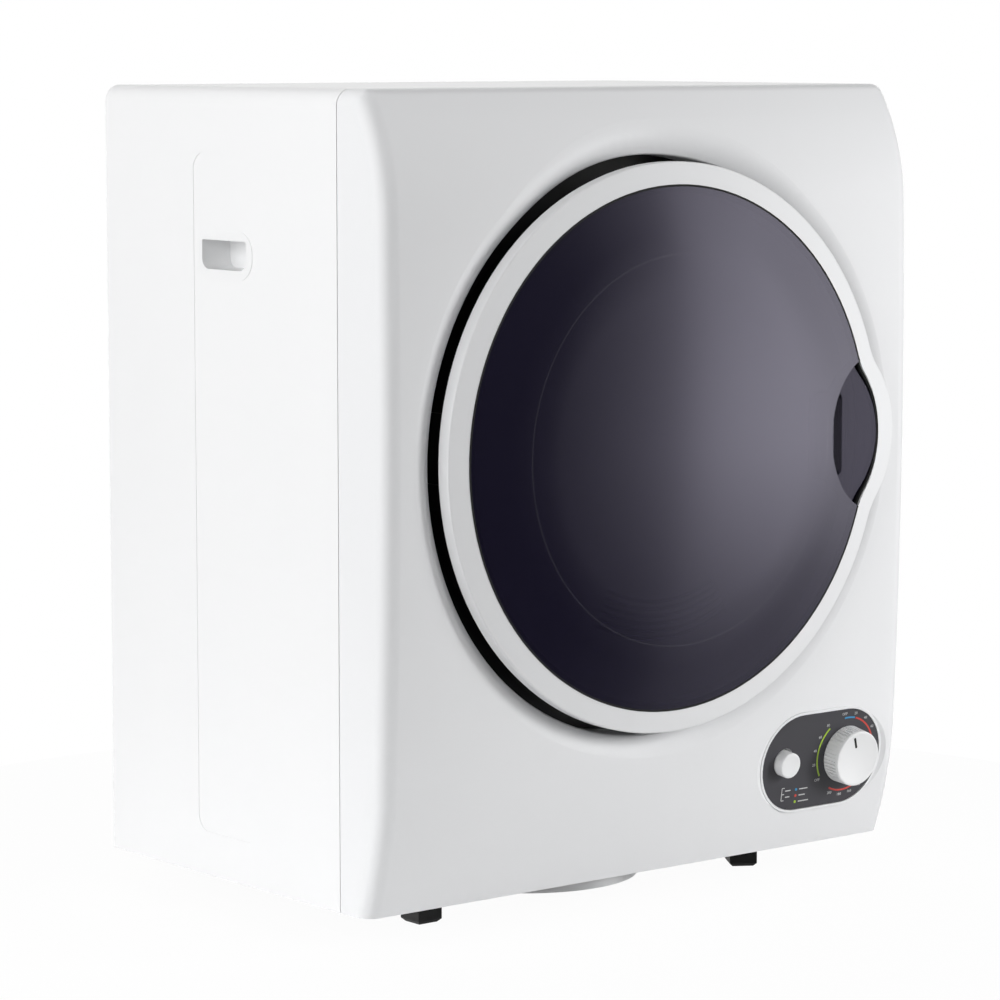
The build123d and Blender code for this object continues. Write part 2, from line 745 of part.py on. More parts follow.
def drive_belt():
    def loop(grow):
        drum = Pos(0, z_axis) * Circle(drum_radius + belt_clearance + grow)
        pulley = Pos(motor_x, motor_z) * Circle(pulley_radius + belt_clearance + grow)
        return make_hull(drum.edges() + pulley.edges())

    y0 = y_seam + belt_setback - belt_width / 2
    return slab_y(loop(belt_thickness) - loop(0), y0, y0 + belt_width)


def heater_place(distance):
    dx, dz = -motor_x, z_axis - motor_z
    run = hypot(dx, dz)
    return motor_x + dx * distance / run, motor_z + dz * distance / run, degrees(atan2(dx, dz))


def ptc_heater():
    x, z, angle = heater_place(heater_distance)
    count = int((heater_width - heater_run) // heater_slot_pitch)
    windows = Sketch()
    for k in range(count):
        along = (k - (count - 1) / 2) * heater_slot_pitch
        windows += Pos(along, 0) * Rectangle(heater_slot, heater_run * 2 / 3)
    block = slab_y(Rectangle(heater_width, heater_run), y_rear, y_rear + heater_depth)
    block -= slab_y(windows, y_rear + heater_depth / 4, y_rear + heater_depth + overlap)
    return Pos(x, 0, z) * Rot(0, angle, 0) * block


def thermostat():
    x, z, _ = heater_place(heater_distance - heater_run * 3 / 2)
    return rod_y(x, z, thermostat_radius, y_rear, y_rear + thermostat_height)


def rear_screws():
    return Compound(children=[screw_y(x, z, y_rear) for x, z in rear_screw_places()])


def cover_screws():
    return Compound(children=[screw_y(x, z, y_rear + sheet) for x, z in cover_screw_places()])


def cord_gland():
    z = gland_z()
    gland = rod_y(gland_x, z, gland_radius, y_rear - gland_tail, y_rear)
    gland += rod_y(gland_x, z, gland_flange_radius, y_rear, y_rear + gland_flange)
    y0, y1 = y_rear - gland_tail, y_rear + gland_flange
    return gland - rod_y(gland_x, z, gland_bore, y0 - overlap, y1 + overlap)


def terminal_block():
    z0 = gland_z() + terminal_rise
    return box(gland_x - terminal_length / 2, gland_x + terminal_length / 2, y_rear - sheet - terminal_depth,
               y_rear - sheet, z0, z0 + terminal_height)


def control_plate():
    plate = plate_plan(0) - knob_place * Circle(timer_shaft_radius + plate_clearance)
    return on_control(plate - button_place * Circle(button_radius + button_ring), -plate_sink, plate_face)


def timer_knob():
    low = plate_face + knob_gap
    high = plate_face + knob_height
    skirt = control.offset(low) * knob_place * Circle(knob_radius)
    tip = control.offset(high) * knob_place * Circle(knob_tip_radius)
    knob = loft([skirt, tip])
    front = knob.faces().sort_by_distance(control.offset(high + knob_height).origin)[0]
    knob = fillet(front.edges(), knob_gap)
    bore = knob_place * Circle(timer_shaft_radius + bearing_seat)
    knob -= on_control(bore, low - overlap, low + knob_bore_depth)
    pointer_y = knob_tip_radius - pointer_length / 2 - 2 * pointer_width
    pointer = Pos(0, pointer_y) * Rectangle(pointer_width, pointer_length)
    pointer = knob_place * Rot(0, 0, pointer_turn) * pointer
    return knob - on_control(pointer, high - pointer_depth, high + overlap)


def timer_shaft():
    high = plate_face + knob_gap + knob_bore_depth
    return on_control(knob_place * Circle(timer_shaft_radius), high - timer_shaft_length, high)


def timer_module():
    block = knob_place * (Rectangle(timer_size, timer_size) - Circle(timer_shaft_radius + running_clearance))
    return on_control(block, boss_back - timer_depth, boss_back)


def heat_button():
    low = plate_face - button_tail - plate_thickness
    cap = on_control(button_place * Circle(button_radius), low, plate_face + button_height)
    front = cap.faces().sort_by_distance(control.offset(5 * button_height).origin)[0]
    cap = fillet(front.edges(), button_ring)
    return cap + on_control(button_place * Circle(button_stem_radius), low - button_stem, low)


def heat_switch():
    tail = plate_face - button_tail - plate_thickness
    front = tail - button_travel - button_ring
    arm = on_control(button_place * Rectangle(switch_size, switch_size), front - switch_depth, boss_back)
    arm -= on_control(button_place * Circle(button_radius + button_ring), front, boss_back + overlap)
    bore = button_place * Circle(button_stem_radius + running_clearance)
    return arm - on_control(bore, tail - button_stem - button_travel - button_ring, front + overlap)


def door_plan(radius, grip_x, grip_radius, blend):
    plan = Circle(radius) + Pos(grip_x, 0) * Circle(grip_radius)
    notch = plan.vertices().filter_by(lambda v: v.X > radius / 2)
    return Pos(0, z_axis) * fillet(notch, blend)


def lens_plan(grow):
    return door_plan(lens_radius + grow, grip_lens_centre, grip_lens_radius + grow, grip_blend - grow)


def scoop_plan(grow):
    return Pos(scoop_centre, z_axis) * Circle(scoop_radius + grow)


def finger_plan(grow):
    """Finger well along the scoop's inner edge."""
    middle = scoop_centre - scoop_radius - finger_slot_hook + finger_slot_width / 2
    return Pos(middle, z_axis) * RectangleRounded(
        finger_slot_width + 2 * grow, finger_slot_height + 2 * grow, finger_slot_round + grow)


def reach_slab(sketch, far, near):
    """Slab across the door axis between two reaches forward of the seam."""
    return slab_y(sketch, y_seam - far, y_seam - near)


def lens_slope():
    return (lens_flat - lens_edge) / (lens_radius - lens_flat_radius)


def lens_profile(drop):
    """Outer or inner skin of the lens: cap arc, then the straight flank carried past the grip."""
    rim = grip_lens_centre + 2 * grip_lens_radius
    rim_reach = lens_edge - (rim - lens_radius) * lens_slope() - drop
    rise = lens_apex - lens_flat
    cap_radius = (lens_flat_radius**2 + rise**2) / (2 * rise)
    middle, crease = (0, y_seam - lens_apex + drop), (lens_flat_radius, y_seam - lens_flat + drop)
    return RadiusArc(middle, crease, -cap_radius), (rim, y_seam - rim_reach)


def lens_dome(drop):
    """Everything behind one skin of the lens."""
    cap, rim = lens_profile(drop)
    end = cap @ 1
    flank = Polyline((end.X, end.Y), rim, (rim[0], y_seam), (0, y_seam), (0, (cap @ 0).Y))
    return Pos(0, 0, z_axis) * revolve(make_face(cap + flank), Axis.Y)


def door_lens():
    plan = lens_plan(0)
    dome = lens_dome(0)
    shell = (dome - lens_dome(lens_wall)) & reach_slab(plan, lens_apex + overlap, 0)
    tub = dome & reach_slab(plan & scoop_plan(scoop_wall), lens_apex + overlap, scoop_floor - scoop_wall)
    well_floor = scoop_floor - finger_slot_depth
    well = reach_slab(finger_plan(scoop_wall), scoop_floor + scoop_wall, well_floor - scoop_wall)
    lens = shell + tub + well - reach_slab(scoop_plan(0), lens_apex + overlap, scoop_floor)
    return lens - reach_slab(finger_plan(0), scoop_floor, well_floor)


def hinge_half_height():
    return leaf_half_height + knuckle_gap + knuckle_length + pin_overhang


def door_ring():
    plan = door_plan(ring_radius, grip_ring_centre, grip_ring_radius, grip_blend)
    rim = grip_ring_centre + grip_ring_radius
    slope = (lens_edge - ring_lip) / (ring_radius - (ring_lip - ring_side) - lens_radius)
    rim_reach = ring_lip - (rim - ring_radius) * slope
    cone = turned([(0, 0), (rim, 0), (rim, rim_reach), (lens_radius, lens_edge), (0, lens_edge)])
    body = reach_slab(plan, lens_edge, ring_back) & cone
    rebate = Pos(0, z_axis) * (Circle(rim + overlap) - Circle(ring_radius - ring_rebate))
    body -= reach_slab(rebate, ring_back + grip_lift, ring_back - overlap)
    body = chamfer_front(body)
    body -= reach_slab(lens_plan(lens_gap), lens_apex, 0) - lens_dome(lens_wall)
    body -= reach_slab(Pos(0, z_axis) * Circle(ring_inner), lens_apex, ring_back - overlap)
    body -= reach_slab(scoop_plan(scoop_wall + lens_gap) & lens_plan(lens_gap), lens_apex,
                       scoop_floor - scoop_wall - lens_gap)
    groove = Circle(ring_radius - ring_rebate - ring_wall) - Circle(ring_inner + ring_wall)
    groove = Pos(0, z_axis) * groove
    keep = scoop_floor - scoop_wall - lens_gap - ring_wall
    body -= reach_slab(groove, keep, ring_back - overlap)
    swing = knuckle_radius + hinge_well
    half = hinge_half_height() + knuckle_gap
    return body - box(hinge_x - swing, hinge_x + leaf_reach / 2, y_seam - hinge_reach - swing,
                      y_seam - ring_back + overlap, z_axis - half, z_axis + half)


def chamfer_front(body):
    edges = body.edges().filter_by(
        lambda e: e.center().Y < y_seam - ring_side and hypot(
            e.position_at(0.5).X, e.position_at(0.5).Z - z_axis) > lens_radius + ring_wall)
    return fillet(edges, ring_lip - ring_side)


def door_inner_panel():
    back = ring_back - inner_panel_wall
    panel = reach_slab(Pos(0, z_axis) * Circle(inner_panel_radius), ring_back, back)
    pitch = grille_depth / louvre_count
    for k in range(louvre_count):
        middle = lens_flat_radius - grille_depth + (k + 0.5) * pitch
        slot = sector(middle - louvre_slot / 2, middle + louvre_slot / 2, -90, grille_half_angle)
        panel -= reach_slab(slot, ring_back + overlap, back - overlap)
    half = hinge_half_height() + knuckle_gap
    return panel - box(-inner_panel_radius - overlap, hinge_x + leaf_reach / 2, y_seam - ring_back - overlap,
                       y_seam - back + overlap, z_axis - half, z_axis + half)


def door_skirt():
    tube = Circle(skirt_radius) - Circle(skirt_radius - inner_panel_wall)
    return reach_slab(Pos(0, z_axis) * tube, ring_back - inner_panel_wall, skirt_back)


def door_lint_screen():
    back = ring_back - inner_panel_wall
    half_angle = grille_half_angle + lint_margin
    inner = lens_flat_radius - grille_depth - louvre_slot
    mesh = sector(inner, lens_flat_radius + louvre_slot, -90, half_angle)
    return reach_slab(mesh, back, back - lint_screen)


def door_gasket():
    ring = Circle(skirt_radius + gasket_lip) - Circle(skirt_radius - inner_panel_wall - gasket_lip / 2)
    return reach_slab(Pos(0, z_axis) * ring, skirt_back, gasket_back)


def door_hinge_leaf():
    back = y_seam - ring_back + inner_panel_wall
    notch = hinge_x + leaf_reach / 2
    low, high = z_axis - leaf_half_height, z_axis + leaf_half_height
    barrel = slab_z(Pos(hinge_x, y_seam - hinge_reach) * Circle(knuckle_radius), low, high)
    barrel += box(hinge_x, notch, y_seam - ring_back - overlap, back + leaf_wall, low, high)
    leaf = barrel + box(notch, hinge_x + leaf_reach, back, back + leaf_wall, low, high)
    bore = pin_radius + running_clearance
    return leaf - rod_z(hinge_x, y_seam - hinge_reach, bore, low - overlap, high + overlap)


def hinge_bracket():
    y_pin = y_seam - hinge_reach
    x0 = hinge_x + neck_offset
    neck = make_face(Polyline(
        (x0 - neck_wall / 2, y_bulkhead), (x0 - neck_wall / 2, y_pin + neck_offset - neck_wall / 3),
        (hinge_x - neck_wall / 3, y_pin + neck_wall / 3), (hinge_x + neck_wall / 3, y_pin - neck_wall / 3),
        (x0 + neck_wall / 2, y_pin + neck_offset - neck_wall), (x0 + neck_wall / 2, y_bulkhead), close=True))
    pin = Pos(hinge_x, y_pin)
    arm = neck + pin * Circle(knuckle_radius) - pin * Circle(pin_radius + bearing_seat)
    inner = leaf_half_height + knuckle_gap
    outer = inner + knuckle_length
    arms = slab_z(arm, z_axis + inner, z_axis + outer) + slab_z(arm, z_axis - outer, z_axis - inner)
    foot_plate = box(x0 - hinge_foot / 2, x0 + hinge_foot / 2, y_bulkhead - sheet, y_bulkhead,
                     z_axis - outer - hinge_foot / 2, z_axis + outer + hinge_foot / 2)
    tube_room = mouth_tube_radius + lens_gap
    foot_plate -= rod_y(0, z_axis, tube_room, y_bulkhead - 2 * sheet, y_bulkhead + overlap)
    return arms + foot_plate


def hinge_pin():
    half = hinge_half_height()
    return rod_z(hinge_x, y_seam - hinge_reach, pin_radius, z_axis - half, z_axis + half)


def door_magnet():
    back = y_seam - ring_back + inner_panel_wall
    return box(magnet_x - magnet_size / 2, magnet_x + magnet_size / 2, back, back + magnet_depth,
               z_axis - magnet_height / 2, z_axis + magnet_height / 2)


def door_catch():
    y0 = y_seam - ring_back + inner_panel_wall + magnet_depth + catch_gap
    half_x = magnet_size / 2 + catch_margin
    half_z = magnet_height / 2 + catch_margin
    return box(magnet_x - half_x, magnet_x + half_x, y0, y_bulkhead, z_axis - half_z, z_axis + half_z)


parts["cabinet_wrap"] = cabinet_wrap()
parts["rear_panel"] = rear_panel()
parts["base_pan"] = base_pan()
parts["front_panel"] = front_panel()
parts["front_bulkhead"] = front_bulkhead()
parts["mouth_collar"] = mouth_collar()
parts["drum_collar"] = drum_collar()
parts["handle_cup_left"] = handle_cup(-1)
parts["handle_cup_right"] = handle_cup(1)
for corner in foot_places():
    parts["foot_" + corner] = foot(corner)
parts["foot_screws"] = foot_screws()
parts["vent_collar"] = vent_collar()
parts["vent_grille"] = vent_grille()
parts["exhaust_duct"] = exhaust_duct()
parts["rear_duct_cover"] = rear_duct_cover()
parts["rear_screws"] = rear_screws()
parts["cover_screws"] = cover_screws()
parts["cord_gland"] = cord_gland()
parts["terminal_block"] = terminal_block()
parts["ptc_heater"] = ptc_heater()
parts["thermostat"] = thermostat()
parts["motor_housing"] = motor_housing()
parts["motor_bracket"] = motor_bracket()
parts["motor_shaft"] = motor_shaft()
parts["motor_pulley"] = motor_pulley()
parts["fan_wheel"] = fan_wheel()
parts["drive_belt"] = drive_belt()
parts["bearing_bracket"] = bearing_bracket()
parts["drum_bearing"] = drum_bearing()
parts["drum_glides"] = drum_glides()
parts["drum_felt_seal"] = drum_felt_seal()
parts["drum_shell"] = drum_shell()
parts["drum_back"] = drum_back()
for index in range(lifter_count):
    parts[f"drum_lifter_{index + 1}"] = drum_lifter(index)
parts["drum_shaft"] = drum_shaft()
parts["control_plate"] = control_plate()
parts["timer_knob"] = timer_knob()
parts["timer_shaft"] = timer_shaft()
parts["timer_module"] = timer_module()
parts["heat_button"] = heat_button()
parts["heat_switch"] = heat_switch()
parts["door_ring"] = door_ring()
parts["door_lens"] = door_lens()
parts["door_inner_panel"] = door_inner_panel()
parts["door_skirt"] = door_skirt()
parts["door_lint_screen"] = door_lint_screen()
parts["door_gasket"] = door_gasket()
parts["door_hinge_leaf"] = door_hinge_leaf()
parts["hinge_bracket"] = hinge_bracket()
parts["hinge_pin"] = hinge_pin()
parts["door_magnet"] = door_magnet()
parts["door_catch"] = door_catch()

os.makedirs("parts", exist_ok=True)
for name, shape in parts.items():
    export_step(shape, f"parts/{name}.step")

belt_ratio = (drum_radius + belt_clearance) / (pulley_radius + belt_clearance)
print("belt ratio", round(belt_ratio, 4))
print("control origin", [round(v, 3) for v in control.origin], "axis", [round(v, 5) for v in control.z_dir])
print("drum volume l", round(pi * (drum_radius - drum_sheet) ** 2 * drum_length / 1e6, 1))
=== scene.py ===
import json
import math

import bmesh
import bpy
from mathutils import Matrix, Vector


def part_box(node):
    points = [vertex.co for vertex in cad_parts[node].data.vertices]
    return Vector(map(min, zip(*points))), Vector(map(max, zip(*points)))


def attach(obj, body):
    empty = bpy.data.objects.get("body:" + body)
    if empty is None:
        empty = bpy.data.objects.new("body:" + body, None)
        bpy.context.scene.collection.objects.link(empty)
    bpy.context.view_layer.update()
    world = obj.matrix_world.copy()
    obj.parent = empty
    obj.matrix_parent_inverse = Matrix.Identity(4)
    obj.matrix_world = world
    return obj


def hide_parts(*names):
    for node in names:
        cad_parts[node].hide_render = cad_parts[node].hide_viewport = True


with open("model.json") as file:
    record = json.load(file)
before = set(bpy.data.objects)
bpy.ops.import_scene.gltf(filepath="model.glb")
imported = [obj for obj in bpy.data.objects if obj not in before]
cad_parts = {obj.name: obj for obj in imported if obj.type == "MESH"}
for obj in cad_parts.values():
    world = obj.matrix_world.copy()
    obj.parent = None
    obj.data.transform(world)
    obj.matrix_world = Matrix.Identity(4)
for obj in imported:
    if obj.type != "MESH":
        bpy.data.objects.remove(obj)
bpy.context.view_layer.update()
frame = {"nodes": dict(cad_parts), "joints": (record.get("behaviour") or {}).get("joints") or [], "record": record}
nodes = frame["nodes"]
joints = {joint["name"]: joint for joint in frame["joints"]}
bpy.ops.object.select_all(action="DESELECT")
print("frame loaded:", len(nodes), "nodes")


# Shader maths: a wire is one socket, and arithmetic on it adds Math nodes
class Wire:
    def __init__(self, tree, socket=None):
        self.tree = tree
        self.socket = socket

    def node(self, kind, settings=None, sockets=None, out=0):
        made = self.tree.nodes.new(kind)
        for name, value in (settings or {}).items():
            if name == "stops":
                self.setStops(made.color_ramp, value)
            else:
                setattr(made, name, value)
        for name, value in (sockets or {}).items():
            if isinstance(value, Wire):
                self.tree.links.new(value.socket, made.inputs[name])
            else:
                made.inputs[name].default_value = value
        return Wire(self.tree, made.outputs[out])

    def setStops(self, ramp, stops):
        while len(ramp.elements) > 1:
            ramp.elements.remove(ramp.elements[-1])
        for index, (place, colour) in enumerate(stops):
            stop = ramp.elements[0] if index == 0 else ramp.elements.new(place)
            stop.position = place
            stop.color = (*colour, 1.0)

    def math(self, operation, first, second=0.0):
        return self.node("ShaderNodeMath", {"operation": operation}, {0: first, 1: second})

    def __add__(self, other):
        return self.math("ADD", self, other)

    def __radd__(self, other):
        return self.math("ADD", other, self)

    def __sub__(self, other):
        return self.math("SUBTRACT", self, other)

    def __rsub__(self, other):
        return self.math("SUBTRACT", other, self)

    def __mul__(self, other):
        return self.math("MULTIPLY", self, other)

    def __rmul__(self, other):
        return self.math("MULTIPLY", other, self)

    def __truediv__(self, other):
        return self.math("DIVIDE", self, other)

    def __lt__(self, other):
        return self.math("LESS_THAN", self, other)


def grey(level):
    return (level, level, level)


class Finish:
    # one material: its principled shader, object coordinates and the textures it shares
    def __init__(self, name, colour, roughness, metallic=0.0, **constants):
        self.material = bpy.data.materials.new(name)
        self.material.use_nodes = True
        tree = self.material.node_tree
        self.wire = Wire(tree)
        self.shader = tree.nodes["Principled BSDF"]
        self.set("Base Color", (*colour, 1.0))
        self.set("Roughness", roughness)
        self.set("Metallic", metallic)
        for socket, value in constants.items():
            self.set(socket.replace("_", " "), value)
        self.place = self.wire.node("ShaderNodeTexCoord", out="Object")

    def set(self, socket, value):
        target = self.shader.inputs[socket]
        if isinstance(value, Wire):
            self.wire.tree.links.new(value.socket, target)
        else:
            target.default_value = value

    def stretched(self, scale):
        return self.wire.node("ShaderNodeMapping", {}, {"Vector": self.place, "Scale": scale})

    def noise(self, scale, detail=3.0, vector=None, distortion=0.0):
        return self.wire.node("ShaderNodeTexNoise", {}, {
            "Vector": vector or self.place, "Scale": scale, "Detail": detail, "Distortion": distortion})

    def cells(self, scale, out="Distance"):
        return self.wire.node("ShaderNodeTexVoronoi", {}, {"Vector": self.place, "Scale": scale}, out)

    def mix(self, factor, first, second):
        return self.wire.node("ShaderNodeMix", {"data_type": "RGBA"}, {
            0: factor, 6: (*first, 1.0), 7: (*second, 1.0)}, out=2)

    def bump(self, height, strength, distance=0.0002):
        self.set("Normal", self.wire.node("ShaderNodeBump", {}, {
            "Height": height, "Strength": strength, "Distance": distance}))


window = {
    "radius": 0.188,
    "edge": -0.185,             # y of the window's edge
    "slope": 0.1875,            # of its flank
    "wall": 0.0025,
    "crease": 0.140,
    "creaseGlintWidth": 0.0009,
    "alpha": 0.8,
    "scoopFloor": -0.181,
    "scoopTilt": 2.4,           # degrees, deeper at the fingers' side
    "scoopMiddle": 0.19,        # x that the scoop's floor tilts about
    "wellFloor": -0.176,
    "wellFrom": 0.16,           # x past which the well's floor lies
    "wellSlant": 0.0045,        # shift of the well's floor, which slants its walls
    "scoopLedge": -0.1785,
    "ledgeSlack": 0.0001,
    "gapShadeThickness": 0.0018,             # painted shade: dark line round the window, standing for the shaded gap between window and ring
    "gapShadeRise": 0.0002,
    "gapShadeReach": 0.0025,        # the edge wall lies within this of the radius
    # painted shade: the black sheet over the ring's ledge under the window
    "mask": 0.0003,
    "maskReach": 0.018,         # past the radius, where the ledge ends
    "maskSlack": 0.0003,        # of the ledge from the window's inner skin
    "near": 1e-5,               # slack of a level match
}


def windowSkin(radius):
    # y of the window's flank at a radius from the drum's axis
    return window["edge"] + (radius - window["radius"]) * window["slope"]


# Paint, plastic, rubber and metal finishes
def whiteEnamel():
    look = Finish("whiteEnamel", grey(0.86), 0.3, Coat_Weight=0.25, Coat_Roughness=0.12)
    peel = look.noise(900.0, 2.0)
    look.bump(peel, 0.08)
    look.set("Roughness", 0.26 + look.noise(35.0) * 0.1)
    look.set("Base Color", look.mix(look.noise(6.0, 4.0), (0.845, 0.848, 0.855), (0.87, 0.872, 0.877)))
    return look.material


def glossWhite():
    look = Finish("glossWhite", grey(0.83), 0.32, Coat_Weight=0.3, Coat_Roughness=0.07, IOR=1.4)
    look.bump(look.noise(420.0, 2.0), 0.02)
    look.set("Roughness", 0.32 + look.noise(28.0) * 0.06)
    look.set("Base Color", look.mix(look.noise(5.0, 4.0), (0.815, 0.82, 0.832), (0.84, 0.845, 0.855)))
    return look.material


def satinWhite():
    look = Finish("satinWhite", grey(0.85), 0.34, Coat_Weight=0.1)
    look.bump(look.noise(1400.0, 2.0), 0.06)
    look.set("Roughness", 0.3 + look.noise(60.0) * 0.1)
    look.set("Base Color", look.mix(look.noise(14.0), (0.835, 0.84, 0.845), (0.86, 0.862, 0.868)))
    return look.material


def smokedPlastic():
    look = Finish("smokedPlastic", (0.01, 0.008, 0.022), 0.1, IOR=1.85, Alpha=window["alpha"],
                  Specular_Tint=(0.86, 0.82, 1.0, 1.0))
    axis = joints["drum_spin"]["pos_m"]
    across = look.wire.node("ShaderNodeVectorMath", {"operation": "MULTIPLY_ADD"}, {
        0: look.place, 1: (1, 0, 1), 2: (-axis[0], 0, -axis[2])}, out="Vector")
    radius = look.wire.node("ShaderNodeVectorMath", {"operation": "LENGTH"}, {0: across}, out="Value")
    # painted highlight: a thin lighter ring along the window's crease stands in for the light the crease catches
    crease = look.wire.math("ABSOLUTE", radius - window["crease"]) < window["creaseGlintWidth"] / 2
    cloud = look.mix(look.noise(9.0), (0.0085, 0.007, 0.02), (0.0115, 0.0095, 0.025))
    look.set("Base Color", look.wire.node("ShaderNodeMix", {"data_type": "RGBA"}, {
        0: crease, 6: cloud, 7: (0.034, 0.032, 0.046, 1.0)}, out=2))
    look.set("Roughness", 0.09 + look.noise(300.0) * 0.04)
    return look.material


def charcoalPlate():
    look = Finish("charcoalPlate", (0.055, 0.054, 0.06), 0.38)
    grain = look.noise(2600.0, 2.0)
    look.bump(grain, 0.1, 0.00005)
    look.set("Base Color", look.mix(grain, (0.05, 0.049, 0.056), (0.064, 0.062, 0.07)))
    look.set("Roughness", 0.34 + grain * 0.12)
    return look.material


def blackRubber():
    look = Finish("blackRubber", grey(0.009), 0.62)
    look.bump(look.noise(1100.0, 4.0), 0.25)
    look.set("Base Color", look.mix(look.noise(90.0), grey(0.006), grey(0.013)))
    look.set("Roughness", 0.55 + look.noise(150.0) * 0.2)
    return look.material


def gasketRubber():
    look = Finish("gasketRubber", grey(0.2), 0.6)
    look.bump(look.noise(900.0, 3.0), 0.2)
    look.set("Base Color", look.mix(look.noise(70.0), grey(0.17), grey(0.23)))
    return look.material


def beltRubber():
    look = Finish("beltRubber", grey(0.03), 0.55)
    ribs = look.wire.node("ShaderNodeTexWave", {"bands_direction": "Y"}, {
        "Vector": look.place, "Scale": 140.0, "Distortion": 0.0}, out="Fac")
    look.bump(ribs, 0.6, 0.0006)
    look.set("Base Color", look.mix(look.noise(120.0), grey(0.02), grey(0.045)))
    return look.material


def galvanisedSteel():
    look = Finish("galvanisedSteel", grey(0.62), 0.36, 1.0)
    spangle = look.cells(130.0, out="Color")
    flake = look.wire.node("ShaderNodeSeparateColor", {}, {"Color": spangle})
    look.set("Base Color", look.mix(flake, (0.55, 0.56, 0.575), (0.68, 0.69, 0.7)))
    look.set("Roughness", 0.3 + flake * 0.16)
    look.bump(look.noise(500.0), 0.06)
    return look.material


def blackEnamel():
    look = Finish("blackEnamel", grey(0.012), 0.45)
    look.bump(look.noise(900.0, 2.0), 0.08)
    look.set("Base Color", look.mix(look.noise(40.0), grey(0.009), grey(0.016)))
    look.set("Roughness", 0.4 + look.noise(60.0) * 0.15)
    return look.material


def drumSteel():
    look = Finish("drumSteel", grey(0.68), 0.28, 0.75)
    grain = look.noise(60.0, 4.0, look.stretched((14.0, 0.5, 14.0)))
    look.set("Base Color", look.mix(grain, (0.6, 0.6, 0.595), (0.74, 0.74, 0.735)))
    look.set("Roughness", 0.22 + grain * 0.18)
    look.bump(grain, 0.08)
    return look.material


def brightSteel():
    look = Finish("brightSteel", grey(0.66), 0.24, 1.0)
    turn = look.noise(400.0, 2.0, look.stretched((1.0, 1.0, 6.0)))
    look.set("Base Color", look.mix(turn, (0.58, 0.58, 0.59), (0.72, 0.72, 0.73)))
    look.set("Roughness", 0.18 + turn * 0.16)
    return look.material


def ventSteel():
    look = Finish("ventSteel", grey(0.84), 0.34, 0.15)
    grain = look.noise(50.0, 4.0, look.stretched((1.0, 1.0, 30.0)))
    look.set("Base Color", look.mix(grain, (0.78, 0.785, 0.79), (0.88, 0.885, 0.89)))
    look.set("Roughness", 0.3 + grain * 0.16)
    look.bump(grain, 0.05)
    return look.material


def castAlloy():
    look = Finish("castAlloy", grey(0.55), 0.5, 1.0)
    skin = look.noise(350.0, 5.0)
    look.bump(skin, 0.35)
    look.set("Base Color", look.mix(skin, (0.46, 0.47, 0.48), (0.62, 0.63, 0.64)))
    return look.material


def finAlloy():
    look = Finish("finAlloy", grey(0.6), 0.4, 1.0)
    look.set("Base Color", look.mix(look.noise(200.0), grey(0.52), grey(0.66)))
    look.bump(look.noise(600.0), 0.15)
    return look.material


def sinteredBronze():
    look = Finish("sinteredBronze", (0.5, 0.33, 0.15), 0.42, 1.0)
    pores = look.noise(1500.0, 4.0)
    look.set("Base Color", look.mix(pores, (0.42, 0.27, 0.12), (0.56, 0.38, 0.18)))
    look.bump(pores, 0.3)
    return look.material


def greyPlastic():
    look = Finish("greyPlastic", grey(0.2), 0.5)
    look.bump(look.noise(1300.0, 3.0), 0.15)
    look.set("Base Color", look.mix(look.noise(30.0), (0.18, 0.185, 0.19), (0.23, 0.235, 0.24)))
    return look.material


def palePlastic():
    look = Finish("palePlastic", grey(0.68), 0.45)
    look.bump(look.noise(1300.0, 3.0), 0.12)
    look.set("Base Color", look.mix(look.noise(30.0), (0.66, 0.66, 0.64), (0.71, 0.71, 0.69)))
    return look.material


def pressedFelt():
    look = Finish("pressedFelt", (0.33, 0.32, 0.3), 0.95, Sheen_Weight=0.5)
    fibre = look.noise(1800.0, 6.0, distortion=1.5)
    look.bump(fibre, 0.6, 0.0005)
    look.set("Base Color", look.mix(fibre, (0.25, 0.24, 0.23), (0.42, 0.41, 0.39)))
    return look.material


def lintMesh():
    look = Finish("lintMesh", grey(0.16), 0.8)
    weave = look.cells(900.0)
    look.bump(weave, 0.5, 0.0003)
    look.set("Base Color", look.mix(weave, grey(0.1), grey(0.24)))
    return look.material


def ferriteBlock():
    look = Finish("ferriteBlock", grey(0.07), 0.55)
    look.bump(look.noise(700.0, 4.0), 0.3)
    look.set("Base Color", look.mix(look.noise(160.0), grey(0.05), grey(0.1)))
    return look.material


finishOfSlot = {
    "white_enamel": whiteEnamel(),
    "white_gloss_plastic": glossWhite(),
    "white_plastic": satinWhite(),
    "smoked_plastic": smokedPlastic(),
    "charcoal_plastic": charcoalPlate(),
    "black_rubber": blackRubber(),
    "gasket_rubber": gasketRubber(),
    "belt_rubber": beltRubber(),
    "galvanised_steel": galvanisedSteel(),
    "black_enamel": blackEnamel(),
    "drum_steel": drumSteel(),
    "bright_steel": brightSteel(),
    "motor_alloy": castAlloy(),
    "heater_alloy": finAlloy(),
    "bronze": sinteredBronze(),
    "grey_plastic": greyPlastic(),
    "pale_plastic": palePlastic(),
    "felt": pressedFelt(),
    "lint_mesh": lintMesh(),
    "ferrite": ferriteBlock(),
}


def dress(piece, material):
    piece.data.materials.clear()
    piece.data.materials.append(material)


for part in frame["record"]["subparts"]:
    dress(nodes[part["node"]], finishOfSlot[part["material_slot"]])
ventFinish = ventSteel()
for name in ("vent_collar", "vent_grille"):
    dress(nodes[name], ventFinish)
# painted shade: the hinge parts are dressed black so that they read as the shade in the gap beside the door
for name in ("hinge_bracket", "door_hinge_leaf"):
    dress(nodes[name], finishOfSlot["black_enamel"])
print("finishes set:", len(finishOfSlot))


# Modelling helpers: each piece is shaped in edit mode, then put in its place
def startEdit(piece):
    bpy.ops.object.select_all(action="DESELECT")
    piece.select_set(True)
    bpy.context.view_layer.objects.active = piece
    bpy.ops.object.mode_set(mode="EDIT")


